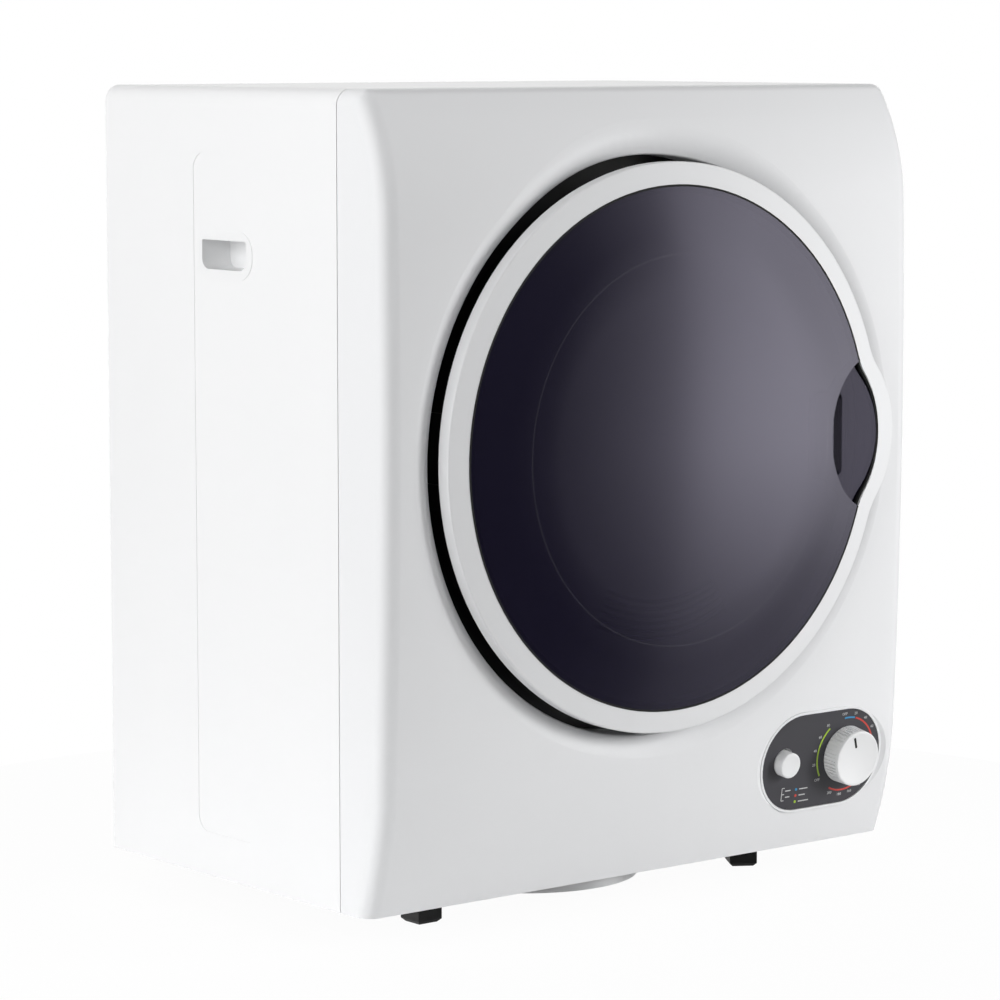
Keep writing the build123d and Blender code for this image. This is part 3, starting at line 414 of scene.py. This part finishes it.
def choose(piece, kind, test):
    bpy.ops.mesh.select_mode(type=kind)
    bpy.ops.mesh.select_all(action="DESELECT")
    mesh = bmesh.from_edit_mesh(piece.data)
    for item in {"VERT": mesh.verts, "EDGE": mesh.edges, "FACE": mesh.faces}[kind]:
        if test(item):
            item.select_set(True)
    bmesh.update_edit_mesh(piece.data)


def newPiece(name, adder, **sizes):
    bpy.ops.object.select_all(action="DESELECT")
    adder(**sizes)
    piece = bpy.context.object
    piece.name = name
    piece.data.name = name
    bpy.ops.object.transform_apply(location=True, rotation=True, scale=True)
    startEdit(piece)
    return piece


def closeShell():
    bpy.ops.mesh.select_all(action="SELECT")
    bpy.ops.mesh.remove_doubles(threshold=1e-6)
    bpy.ops.mesh.normals_make_consistent(inside=False)


def settle(piece, place, angle=35.0):
    if piece.mode == "EDIT":
        bpy.ops.object.mode_set(mode="OBJECT")
    bpy.ops.object.select_all(action="DESELECT")
    piece.select_set(True)
    bpy.context.view_layer.objects.active = piece
    piece.matrix_world = place @ piece.matrix_world
    bpy.ops.object.transform_apply(location=True, rotation=True, scale=True)
    bpy.ops.object.shade_smooth_by_angle(angle=math.radians(angle))


def carry(piece, material, slot, body, *replaced):
    dress(piece, material)
    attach(piece, body)
    if replaced:
        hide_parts(*replaced)


def applyModifier(piece, kind, **settings):
    bpy.context.view_layer.objects.active = piece
    made = piece.modifiers.new(kind.lower(), kind)
    for name, value in settings.items():
        setattr(made, name, value)
    bpy.ops.object.modifier_apply(modifier=made.name)


def joined(pieces, name):
    bpy.ops.object.select_all(action="DESELECT")
    for piece in pieces:
        piece.select_set(True)
    bpy.context.view_layer.objects.active = pieces[0]
    if len(pieces) > 1:
        bpy.ops.object.join()
    pieces[0].name = name
    pieces[0].data.name = name
    return pieces[0]


def copied(piece, place):
    twin = piece.copy()
    twin.data = piece.data.copy()
    bpy.context.scene.collection.objects.link(twin)
    twin.matrix_world = place @ piece.matrix_world
    return twin


def frameOn(origin, out):
    # a frame whose z points out and whose x points right
    out = Vector(out).normalized()
    right = Vector((1, 0, 0))
    up = out.cross(right)
    turn = Matrix((right, up, out)).transposed().to_4x4()
    return Matrix.Translation(origin) @ turn


def turnedPiece(name, outline, centre, axis, steps):
    # a closed outline of (radius, height) points, spun round an axis
    bpy.ops.object.select_all(action="DESELECT")
    bpy.ops.mesh.primitive_circle_add(vertices=len(outline), radius=0.01)
    piece = bpy.context.object
    piece.name = name
    piece.data.name = name
    for vertex, (radius, height) in zip(piece.data.vertices, outline):
        vertex.co = (radius, 0, height)
    startEdit(piece)
    bpy.ops.mesh.select_all(action="SELECT")
    bpy.ops.mesh.spin(steps=steps, angle=2 * math.pi, center=(0, 0, 0), axis=(0, 0, 1))
    closeShell()
    settle(piece, frameOn(centre, axis))
    return piece


# Control plate: knob, button and the printed dial
dial = {
    "plateFace": -0.0016,       # plate's face from the panel's tangent plane
    "knobRadius": 0.022,
    "knobTip": 0.0212,
    "knobHeight": 0.0146,
    "knobGap": 0.0005,
    "knobRound": 0.0007,
    "ribs": 48,
    "ribDepth": 0.0013,
    "ribTop": 0.0022,           # plain band under the knob's face
    "faceInsets": (0.0012, 0.0006),     # the rim and the step inside it
    "faceDepth": 0.00025,       # of the knob's face below its rim
    "pointer": (0.0092, 0.0178, 0.0019, 0.0004),        # from, to, width, thickness
    "pointerCorner": 0.45,      # radius of its corners, in widths
    "pointerRound": 0.00008,
    "pointerTurn": 18.0,
    "arcRadius": 0.0285,
    "arcWidth": 0.0013,
    "arcStep": 3.0,             # degrees of an arc in one of its faces
    "arcs": {                   # degrees left of twelve o'clock
        "green": (40.0, 121.0),
        "blue": (-13.0, 8.0),
        "red": (-66.0, -15.0),
        "lowRed": (153.0, 215.0),
    },
    "inkHeight": 0.00012,
    "digit": 0.0031,
    "digitRing": 0.0319,
    "numbers": {
        8: "OFF", -13: "20", -34: "40", -54: "60", 214: "140", 196: "160", 177: "180", 158: "200",
        40: "80", 60: "60", 80: "40", 100: "20", 124: "OFF",
    },
    "legend": (-0.0472, -0.0225),       # first legend dot from the knob's axis
    "legendStep": 0.0048,
    "dotRadius": 0.0011,
    "barGap": 0.0032,           # from a dot to its bar
    "barWidth": 0.0008,
    "barCorner": 0.4,           # radius of its corners, in widths
    "barLengths": (0.0085, 0.0065, 0.0105),
    "bracket": (                # bars left of the dots: place from the first dot, size
        ((-0.0145, -0.0025), (0.0006, 0.0098)),
        ((-0.0132, 0.0024), (0.0026, 0.0006)),
        ((-0.0132, -0.0025), (0.0026, 0.0006)),
        ((-0.0132, -0.0074), (0.0026, 0.0006)),
        ((-0.0084, 0.0), (0.0055, 0.0008)),
        ((-0.0084, -0.0049), (0.0045, 0.0008)),
    ),
}
button = {
    "radius": 0.0097,
    "height": 0.0076,
    "tail": 0.009,
    "round": 0.0011,
    "dish": 0.00035,
    "dishSteps": (0.12, 0.2, 0.25, 0.3),        # shares of the dish's depth, rim to middle
    "dishReach": 0.8,           # inset for a share of 1, in radii
}
knobJoint = joints["timer_turn"]
dialOut = Vector(knobJoint["axis"]).normalized()
dialPlace = frameOn(Vector(knobJoint["pos_m"]) + dialOut * dial["plateFace"], dialOut)
buttonLow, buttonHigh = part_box("heat_button")
buttonMiddle = dialPlace.inverted() @ ((Vector(buttonLow) + Vector(buttonHigh)) / 2)
buttonPlace = dialPlace @ Matrix.Translation((buttonMiddle.x, buttonMiddle.y, 0))


def makeKnob():
    ribs = dial["ribs"]
    low, high = dial["knobGap"], dial["knobHeight"]
    piece = newPiece("timerKnob", bpy.ops.mesh.primitive_cylinder_add, vertices=4 * ribs,
                     radius=dial["knobRadius"], depth=high - low, location=(0, 0, (low + high) / 2))
    choose(piece, "FACE", lambda f: f.normal.z > 0.9)
    share = dial["knobTip"] / dial["knobRadius"]
    bpy.ops.transform.resize(value=(share, share, 1))
    bpy.ops.mesh.select_all(action="SELECT")
    bpy.ops.mesh.bisect(plane_co=(0, 0, high - dial["ribTop"]), plane_no=(0, 0, 1))
    step = 2 * math.pi / ribs

    def onRib(face):
        place = face.calc_center_median()
        upright = abs(face.normal.z) < 0.5 and place.z < high - dial["ribTop"]
        return upright and math.atan2(place.y, place.x) % step < step / 2

    choose(piece, "FACE", onRib)
    bpy.ops.mesh.extrude_region_shrink_fatten(TRANSFORM_OT_shrink_fatten={"value": -dial["ribDepth"]})
    choose(piece, "EDGE", lambda e: all(abs(v.co.z - high) < 1e-6 for v in e.verts))
    bpy.ops.mesh.bevel(offset=dial["knobRound"], segments=4, affect="EDGES")
    choose(piece, "FACE", lambda f: f.normal.z > 0.999 and f.calc_area() > 1e-5)
    for inset in dial["faceInsets"]:
        bpy.ops.mesh.inset(thickness=inset)
    bpy.ops.transform.translate(value=(0, 0, -dial["faceDepth"]))
    closeShell()
    settle(piece, dialPlace, angle=28.0)
    carry(piece, finishOfSlot["white_plastic"], "white_plastic", "timer_dial", "timer_knob")


def makePointer():
    near, far, width, thick = dial["pointer"]
    high = dial["knobHeight"] - dial["faceDepth"]
    piece = newPiece("timerPointer", bpy.ops.mesh.primitive_cube_add, size=1.0,
                     location=(0, (near + far) / 2, high), scale=(width, far - near, thick))
    choose(piece, "EDGE", lambda e: abs((e.verts[0].co - e.verts[1].co).normalized().z) > 0.9)
    bpy.ops.mesh.bevel(offset=width * dial["pointerCorner"], segments=4, affect="EDGES")
    choose(piece, "EDGE", lambda e: all(v.co.z > high + thick / 4 for v in e.verts))
    bpy.ops.mesh.bevel(offset=dial["pointerRound"], segments=2, affect="EDGES")
    closeShell()
    settle(piece, dialPlace @ Matrix.Rotation(math.radians(dial["pointerTurn"]), 4, "Z"))
    carry(piece, inkFinish("pointerInk", grey(0.012)), "charcoal_plastic", "timer_dial")


def makeButton():
    low, high = -button["tail"], button["height"]
    piece = newPiece("heatCap", bpy.ops.mesh.primitive_cylinder_add, vertices=96,
                     radius=button["radius"], depth=high - low, location=(0, 0, (low + high) / 2))
    choose(piece, "EDGE", lambda e: all(v.co.z > high - 1e-6 for v in e.verts))
    bpy.ops.mesh.bevel(offset=button["round"], segments=5, affect="EDGES")
    choose(piece, "FACE", lambda f: f.normal.z > 0.999 and f.calc_area() > 1e-5)
    for share in button["dishSteps"]:
        bpy.ops.mesh.inset(thickness=button["radius"] * share * button["dishReach"])
        bpy.ops.transform.translate(value=(0, 0, -button["dish"] * share))
    closeShell()
    settle(piece, buttonPlace)
    carry(piece, finishOfSlot["white_plastic"], "white_plastic", "heat_key", "heat_button")


def inkFinish(name, colour):
    look = Finish(name, colour, 0.5)
    speckle = look.noise(4000.0, 2.0)
    darker = tuple(level * 0.82 for level in colour)
    look.set("Base Color", look.mix(speckle, darker, colour))
    look.set("Roughness", 0.42 + speckle * 0.15)
    return look.material


def makeArc(name, start, end):
    # a short line at twelve o'clock, spun along the dial to a flat strip
    piece = newPiece(name, bpy.ops.mesh.primitive_plane_add, size=0.001, location=(0, 0, 0))
    choose(piece, "FACE", lambda f: True)
    bpy.ops.mesh.delete(type="ONLY_FACE")
    choose(piece, "EDGE", lambda e: all(v.co.x > 0 for v in e.verts))
    bpy.ops.mesh.delete(type="EDGE")
    bpy.ops.object.mode_set(mode="OBJECT")
    half = dial["arcWidth"] / 2
    for vertex in piece.data.vertices:
        side = half if vertex.co.y > 0 else -half
        vertex.co = (0, dial["arcRadius"] + side, 0)
    startEdit(piece)
    bpy.ops.mesh.select_all(action="SELECT")
    bpy.ops.transform.rotate(value=-math.radians(start), orient_axis="Z", center_override=(0, 0, 0))
    bpy.ops.mesh.spin(steps=max(6, round(abs(end - start) / dial["arcStep"])),
                      angle=math.radians(end - start), center=(0, 0, 0), axis=(0, 0, -1))
    bpy.ops.mesh.select_all(action="SELECT")
    bpy.ops.mesh.remove_doubles(threshold=1e-7)
    bpy.ops.object.mode_set(mode="OBJECT")
    return piece


def makeArcs():
    inks = {
        "green": inkFinish("greenInk", (0.42, 0.62, 0.06)),
        "blue": inkFinish("blueInk", (0.06, 0.3, 0.56)),
        "red": inkFinish("redInk", (0.62, 0.075, 0.06)),
    }
    for name, (start, end) in dial["arcs"].items():
        piece = makeArc(name + "Arc", start, end)
        applyModifier(piece, "SOLIDIFY", thickness=dial["inkHeight"], offset=0)
        startEdit(piece)
        closeShell()
        settle(piece, dialPlace @ Matrix.Translation((0, 0, dial["inkHeight"] / 2)))
        carry(piece, inks["red" if name == "lowRed" else name], "charcoal_plastic", "cabinet")
    x, y = dial["legend"]
    for row, name in enumerate(("blue", "red", "green")):
        piece = newPiece(name + "Dot", bpy.ops.mesh.primitive_cylinder_add, vertices=32,
                         radius=dial["dotRadius"], depth=dial["inkHeight"])
        choose(piece, "EDGE", lambda e: all(v.co.z > 0 for v in e.verts))
        bpy.ops.mesh.bevel(offset=dial["inkHeight"] / 3, segments=2, affect="EDGES")
        closeShell()
        place = (x, y - row * dial["legendStep"], dial["inkHeight"] / 2)
        settle(piece, dialPlace @ Matrix.Translation(place))
        carry(piece, inks[name], "charcoal_plastic", "cabinet")


def makeNumbers():
    white = inkFinish("paleInk", grey(0.62))
    marks = []
    for turn, word in dial["numbers"].items():
        bpy.ops.object.text_add()
        mark = bpy.context.object
        mark.data.body = word
        mark.data.size = dial["digit"]
        mark.data.align_x = "CENTER"
        mark.data.align_y = "CENTER"
        mark.data.extrude = dial["inkHeight"] / 2
        mark.data.resolution_u = 2
        bpy.ops.object.convert(target="MESH")
        angle = math.radians(turn)
        ring = dial["digitRing"]
        mark.matrix_world = Matrix.Translation((-ring * math.sin(angle), ring * math.cos(angle), 0))
        marks.append(mark)
    x, y = dial["legend"]
    for row, length in enumerate(dial["barLengths"]):
        place = (x + dial["barGap"] + length / 2, y - row * dial["legendStep"])
        marks.append(barMark(place, (length, dial["barWidth"])))
    for place, size in dial["bracket"]:
        marks.append(barMark((x + place[0], y + place[1]), size))
    piece = joined(marks, "dialMarks")
    bpy.ops.object.transform_apply(location=True, rotation=True, scale=True)
    startEdit(piece)
    bpy.ops.mesh.select_all(action="SELECT")
    bpy.ops.mesh.remove_doubles(threshold=1e-7)
    bpy.ops.mesh.dissolve_limited(angle_limit=math.radians(1.0))
    settle(piece, dialPlace @ Matrix.Translation((0, 0, dial["inkHeight"] / 2)))
    carry(piece, white, "charcoal_plastic", "cabinet")


def barMark(place, size):
    piece = newPiece("bar", bpy.ops.mesh.primitive_cube_add, size=1.0, scale=(*size, dial["inkHeight"]))
    choose(piece, "EDGE", lambda e: abs(e.verts[0].co.z - e.verts[1].co.z) > 1e-6)
    bpy.ops.mesh.bevel(offset=min(size) * dial["barCorner"], segments=2, affect="EDGES")
    bpy.ops.object.mode_set(mode="OBJECT")
    piece.matrix_world = Matrix.Translation((*place, 0))
    return piece


makeKnob()
makePointer()
makeButton()
makeArcs()
makeNumbers()
print("controls made")


# Door: the window again with an even skin, its gasket and the drum's felt seal
def mergedCopy(node, name):
    piece = nodes[node].copy()
    piece.data = nodes[node].data.copy()
    piece.name = piece.data.name = name
    piece.parent = None
    bpy.context.scene.collection.objects.link(piece)
    piece.matrix_world = Matrix.Identity(4)
    startEdit(piece)
    bpy.ops.mesh.customdata_custom_splitnormals_clear()
    bpy.ops.mesh.select_all(action="SELECT")
    bpy.ops.mesh.remove_doubles(threshold=2e-5)
    return piece


def makeLens():
    piece = mergedCopy("door_lens", "smokedWindow")
    floor, middle = window["scoopFloor"], window["scoopMiddle"]
    choose(piece, "VERT", lambda v: level(v, "scoopFloor") and fromAxis(v.co) > window["crease"])
    bpy.ops.transform.rotate(value=math.radians(window["scoopTilt"]), orient_axis="Z",
                             center_override=(middle, floor, 0))
    choose(piece, "VERT", lambda v: level(v, "wellFloor") and v.co.x > window["wellFrom"])
    bpy.ops.transform.translate(value=(-window["wellSlant"], 0, 0))
    settle(piece, Matrix.Identity(4), angle=30.0)
    carry(piece, finishOfSlot["smoked_plastic"], "smoked_plastic", "door", "door_lens")


def fromAxis(point):
    axis = joints["drum_spin"]["pos_m"]
    return math.hypot(point.x - axis[0], point.z - axis[2])


def level(vertex, name):
    return abs(vertex.co.y - window[name]) < window["near"]


def keepFaces(piece, test):
    choose(piece, "FACE", test)
    bpy.ops.mesh.select_all(action="INVERT")
    bpy.ops.mesh.delete(type="FACE")
    bpy.ops.object.mode_set(mode="OBJECT")


def makeGapShade():
    # painted shade: the window's edge wall, thickened to a black line between window and ring, where the gap lies
    # in shade
    axis = Vector(joints["drum_spin"]["pos_m"])

    def onEdge(face):
        place = face.calc_center_median()
        out = Vector((place.x - axis.x, 0, place.z - axis.z)).normalized()
        outward = abs(face.normal.y) < 0.35 and face.normal.dot(out) > 0.5
        return outward and fromAxis(place) > window["radius"] - window["gapShadeReach"]

    piece = mergedCopy("door_lens", "windowGapShade")
    keepFaces(piece, onEdge)
    for vertex in piece.data.vertices:
        if level(vertex, "scoopFloor"):         # along the scoop it stands up beside the ring, as painted shade in the corner there
            vertex.co.y = (vertex.co.y + windowSkin(fromAxis(vertex.co))) / 2
    applyModifier(piece, "SOLIDIFY", thickness=window["gapShadeThickness"], offset=-0.5)
    settle(piece, Matrix.Translation((0, -window["gapShadeRise"], 0)))
    # the black finish here paints the gap's shade, not a rubber part
    carry(piece, finishOfSlot["black_rubber"], "black_rubber", "door")


def makeLedgeShade():
    # painted shade: the ring's ledge under the window, covered with a black sheet that stands for the shade it
    # lies in under the smoked window
    def onLedge(face):
        if face.normal.y > -0.5:
            return False
        for vertex in face.verts:
            radius = fromAxis(vertex.co)
            if radius > window["radius"] + window["maskReach"]:
                return False
            underSkin = abs(vertex.co.y - window["wall"] - windowSkin(radius)) <= window["maskSlack"]
            if not underSkin and abs(vertex.co.y - window["scoopLedge"]) > window["ledgeSlack"]:
                return False
        return True

    piece = mergedCopy("door_ring", "windowLedgeShade")
    keepFaces(piece, onLedge)
    applyModifier(piece, "SOLIDIFY", thickness=window["mask"], offset=1.0)
    settle(piece, Matrix.Identity(4))
    carry(piece, finishOfSlot["black_enamel"], "black_enamel", "door")


def boxOf(name):
    low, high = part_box(name)
    return Vector(low), Vector(high)


gasket = {
    "width": 0.0092,
    "beads": 3,
    "beadDepth": 0.55,          # share of the gasket's thickness
    "beadSteps": 8,
    "steps": 160,
}


def beadedOutline(inner, outer, thick):
    # section of a flat ring whose far edge has round beads
    beads, steps = gasket["beads"], gasket["beadSteps"]
    depth = thick * gasket["beadDepth"]
    outline = [(inner, 0.0), (outer, 0.0), (outer, thick - depth)]
    width = (outer - inner) / beads
    for bead in range(beads):
        middle = outer - (bead + 0.5) * width
        for turn in range(1, steps):
            angle = math.pi * turn / steps
            rise = math.sin(angle) * depth
            outline.append((middle + math.cos(angle) * width / 2, thick - depth + rise))
    outline.append((inner, thick - depth))
    return outline


def makeGasket():
    low, high = boxOf("door_gasket")
    centre = (low + high) / 2
    outer = (high.x - low.x) / 2
    thick = high.y - low.y
    outline = beadedOutline(outer - gasket["width"], outer, thick)
    foot = (centre.x, low.y, centre.z)
    piece = turnedPiece("doorGasketLip", outline, foot, (0, 1, 0), gasket["steps"])
    carry(piece, finishOfSlot["gasket_rubber"], "gasket_rubber", "door", "door_gasket")


felt = {
    "steps": 180,
    "cornerSteps": 4,
    "napScale": 0.004,
    "napDepth": 0.0004,
}


def makeFelt():
    low, high = boxOf("drum_felt_seal")
    centre = (low + high) / 2
    outer = (high.x - low.x) / 2
    width = high.y - low.y
    thick = outer - innerRadius("drum_felt_seal", centre)
    outline = []
    middle, front, back = outer - thick / 2, thick / 2, width - thick / 2
    for height, start in ((back, 0), (front, -90), (front, 180), (back, 90)):
        for turn in range(felt["cornerSteps"]):
            angle = math.radians(start + 90 - turn * 90 / (felt["cornerSteps"] - 1))
            outline.append((middle + math.cos(angle) * thick / 2, height + math.sin(angle) * thick / 2))
    foot = (centre.x, low.y, centre.z)
    piece = turnedPiece("drumFeltBand", outline, foot, (0, 1, 0), felt["steps"])
    nap = bpy.data.textures.new("feltNap", "CLOUDS")
    nap.noise_scale = felt["napScale"]
    applyModifier(piece, "SUBSURF", levels=1, render_levels=1)
    applyModifier(piece, "DISPLACE", texture=nap, texture_coords="LOCAL",
                  strength=felt["napDepth"], mid_level=1.0)
    carry(piece, finishOfSlot["felt"], "felt", "cabinet", "drum_felt_seal")


def innerRadius(name, centre):
    return min(math.hypot(v.co.x - centre.x, v.co.z - centre.z) for v in nodes[name].data.vertices)


makeGapShade()
makeLedgeShade()
makeLens()
makeGasket()
makeFelt()
print("door and seals made")


# Screws: one cross-recess head, copied to each place
screw = {
    "segments": 28,
    "height": 0.55,             # of the head, in radii
    "turn": 37.0,               # degrees between one head's recess and the next
    "dome": 0.45,               # share of the head's height that is domed
    "slotLength": 0.72,         # of the head's diameter
    "slotWidth": 0.17,
    "slotDepth": 0.5,           # of the head's height
}


def looseBoxes(name):
    mesh = nodes[name].data
    owner = {}

    def root(point):
        while owner[point] != point:
            point = owner[point]
        return point

    def key(index):
        return tuple(round(value, 5) for value in mesh.vertices[index].co)

    for face in mesh.polygons:
        points = [key(index) for index in face.vertices]
        for point in points:
            owner.setdefault(point, point)
        for point in points[1:]:
            owner[root(point)] = root(points[0])
    groups = {}
    for point in owner:
        groups.setdefault(root(point), []).append(point)
    boxes = []
    for points in groups.values():
        low = Vector(min(p[axis] for p in points) for axis in range(3))
        high = Vector(max(p[axis] for p in points) for axis in range(3))
        boxes.append((low, high))
    return sorted(boxes, key=lambda box: tuple(box[0]))


def screwHead(radius, height):
    head = newPiece("screwHead", bpy.ops.mesh.primitive_cylinder_add, vertices=screw["segments"],
                    radius=radius, depth=height, location=(0, 0, height / 2))
    choose(head, "EDGE", lambda e: all(v.co.z > height - 1e-6 for v in e.verts))
    bpy.ops.mesh.bevel(offset=height * screw["dome"], segments=4, affect="EDGES")
    bpy.ops.object.mode_set(mode="OBJECT")
    for turn in (0, 90):
        size = (radius * 2 * screw["slotLength"], radius * 2 * screw["slotWidth"],
                height * 2 * screw["slotDepth"])
        bpy.ops.mesh.primitive_cube_add(size=1.0, location=(0, 0, height),
                                        rotation=(0, 0, math.radians(turn)), scale=size)
        cutter = bpy.context.object
        applyModifier(head, "BOOLEAN", operation="DIFFERENCE", object=cutter, solver="EXACT")
        bpy.data.objects.remove(cutter)
    return head


def makeScrews(name, node, out):
    axis = max(range(3), key=lambda index: abs(out[index]))
    heads = []
    boxes = looseBoxes(node)
    low, high = boxes[0]
    across = [high[index] - low[index] for index in range(3) if index != axis]
    radius = max(across) / 2
    height = radius * screw["height"]
    model = screwHead(radius, height)
    for number, (low, high) in enumerate(boxes):
        middle = (low + high) / 2
        tip = high if out[axis] > 0 else low
        middle[axis] = tip[axis] - out[axis] * height
        turn = Matrix.Rotation(math.radians(screw["turn"] * number), 4, "Z")
        heads.append(copied(model, frameOn(middle, out) @ turn))
    bpy.data.objects.remove(model)
    piece = joined(heads, name)
    settle(piece, Matrix.Identity(4), angle=30.0)
    carry(piece, finishOfSlot["bright_steel"], "bright_steel", "cabinet", node)


makeScrews("rearScrewHeads", "rear_screws", (0, 1, 0))
makeScrews("coverScrewHeads", "cover_screws", (0, 1, 0))
print("screws made")


# Floor, light and camera
studio = {
    "floorRadius": 0.62,
    "floorColour": grey(0.9),
    "floorWhite": 0.96,         # share of plain white that the camera sees in the floor
    "surround": 0.06,           # brightness of the white room round the machine
    "dim": 0.03,                # brightness of its unlit end, in front of the machine
    "dimAim": (-0.05, -1.0, -0.1),
    "dimEdge": (0.25, 0.92),    # cosines between which the room gets dim
    "mirror": 2.6,              # brightness of the lit screen that the gloss shows
    "screenTurn": {             # degrees right of straight ahead
        -60: 0.3, -30: 0.02, 18: 0.01, 27: 0.04, 30: 0.075, 34: 0.165, 37: 0.25, 39: 0.33, 41: 0.46,
        42.5: 0.68, 46: 0.88, 52: 1.0, 58: 0.88, 65: 0.78, 80: 0.2, 100: 0.1,
    },
    "screenRise": {             # degrees up
        -60: 0.05, -28: 0.1, -20: 0.22, -15: 0.36, -10: 0.72, -6: 1.0, -2: 1.0, 3: 0.9, 13: 0.72, 30: 0.5,
    },
    "backTurn": {               # white wall behind the machine
        -180: 0.9, -110: 0.9, -50: 0.0, 100: 0.0, 125: 0.9,
    },
}
lamps = {
    "softLeft": {"place": (-1.7, -0.1, 0.75), "aim": (-0.25, -0.05, 0.35), "size": (2.2, 1.6), "power": 28.0},
    "fillLeft": {"place": (-1.5, -0.9, 0.75), "aim": (-0.2, -0.2, 0.35), "size": (1.5, 1.6), "power": 2.6},
    "softRight": {"place": (1.12, -1.12, 0.52), "aim": (0.1, -0.15, 0.35), "size": (0.4, 0.5), "power": 15.0},
    "softTop": {"place": (-0.2, -0.7, 2.2), "aim": (0.0, -0.05, 0.4), "size": (1.5, 1.5), "power": 6.5},
    "softBack": {"place": (0.9, 2.1, 1.0), "aim": (0.05, 0.15, 0.3), "size": (1.8, 1.5), "power": 24.0},
    "key": {"place": (1.35, -2.6, 0.75), "aim": (0.0, -0.1, 0.3), "size": (0.25, 0.25), "power": 8.0},
}


def makeFloor():
    bpy.ops.mesh.primitive_circle_add(vertices=96, radius=studio["floorRadius"], fill_type="NGON")
    floor = bpy.context.object
    floor.name = "studioFloor"
    look = Finish("paleFloor", studio["floorColour"], 0.7)
    wire = look.wire
    path = wire.node("ShaderNodeLightPath", out="Is Camera Ray")
    white = wire.node("ShaderNodeEmission", {}, {"Color": (1, 1, 1, 1), "Strength": 1.0})
    shader = Wire(wire.tree, look.shader.outputs[0])
    both = wire.node("ShaderNodeMixShader", {}, {0: path * studio["floorWhite"], 1: shader, 2: white})
    output = wire.tree.nodes["Material Output"]
    wire.tree.links.new(both.socket, output.inputs["Surface"])
    dress(floor, look.material)
    floor.visible_glossy = False


def byDegrees(wire, share, levels, whole):
    stops = [(degrees / whole + 0.5, grey(level)) for degrees, level in levels.items()]
    return wire.node("ShaderNodeValToRGB", {"stops": stops}, {"Fac": share})


def makeWorld():
    world = bpy.data.worlds.new("studioWorld")
    bpy.context.scene.world = world
    world.use_nodes = True
    tree = world.node_tree
    wire = Wire(tree)
    sight = wire.node("ShaderNodeTexCoord", out="Generated")
    aim = Vector(studio["dimAim"]).normalized()
    facing = wire.node("ShaderNodeVectorMath", {"operation": "DOT_PRODUCT"}, {0: sight, 1: aim}, out="Value")
    light, dark = studio["dimEdge"]
    room = wire.node("ShaderNodeMapRange", {"interpolation_type": "SMOOTHSTEP"}, {
        "Value": facing, "From Min": light, "From Max": dark,
        "To Min": studio["surround"], "To Max": studio["dim"]})
    x, y, z = (wire.node("ShaderNodeSeparateXYZ", {}, {"Vector": sight}, out=axis) for axis in "XYZ")
    turn = wire.math("ARCTAN2", x, 0.0 - y) / (2 * math.pi) + 0.5
    rise = wire.math("ARCSINE", z) / math.pi + 0.5
    across = byDegrees(wire, turn, studio["screenTurn"], 360)
    screen = across * byDegrees(wire, rise, studio["screenRise"], 180)
    mirrored = screen * studio["mirror"] + byDegrees(wire, turn, studio["backTurn"], 360)
    gloss = wire.node("ShaderNodeLightPath", out="Is Glossy Ray")
    seen = room + (mirrored - room) * gloss
    camera = wire.node("ShaderNodeLightPath", out="Is Camera Ray")
    through = wire.node("ShaderNodeLightPath", out="Is Transmission Ray")
    plain = wire.math("MAXIMUM", camera, through)
    strength = plain + (1.0 - plain) * seen
    background = tree.nodes["Background"]
    background.inputs["Color"].default_value = (1, 1, 1, 1)
    tree.links.new(strength.socket, background.inputs["Strength"])


def makeLamp(name, place, aim, size, power):
    data = bpy.data.lights.new(name, "AREA")
    data.shape = "RECTANGLE"
    data.size, data.size_y = size
    data.energy = power
    lamp = bpy.data.objects.new(name, data)
    bpy.context.scene.collection.objects.link(lamp)
    lamp.location = place
    lamp.rotation_euler = (Vector(aim) - Vector(place)).to_track_quat("-Z", "Y").to_euler()
    lamp.visible_camera = False
    lamp.visible_glossy = False                 # the gloss shows the world's screen instead


def makeCamera():
    sight = {
        "place": (-1.8189, -2.2397, 0.6282),
        "heading": 38.891,      # degrees right of straight at the machine
        "tilt": 6.791,          # degrees down
        "focal": 3.8688,        # lens length over the picture's width
        "sensor": 36.0,
    }
    data = bpy.data.cameras.new("photoCamera")
    data.sensor_width = sight["sensor"]
    data.lens = sight["focal"] * sight["sensor"]
    data.clip_start, data.clip_end = 0.1, 60.0
    camera = bpy.data.objects.new("photoCamera", data)
    bpy.context.scene.collection.objects.link(camera)
    camera.location = sight["place"]
    camera.rotation_euler = (math.radians(90 - sight["tilt"]), 0, -math.radians(sight["heading"]))
    bpy.context.scene.camera = camera


makeFloor()
makeWorld()
for name, lamp in lamps.items():
    makeLamp(name, **lamp)
makeCamera()
bpy.context.scene.view_settings.view_transform = "Standard"
print("studio ready")
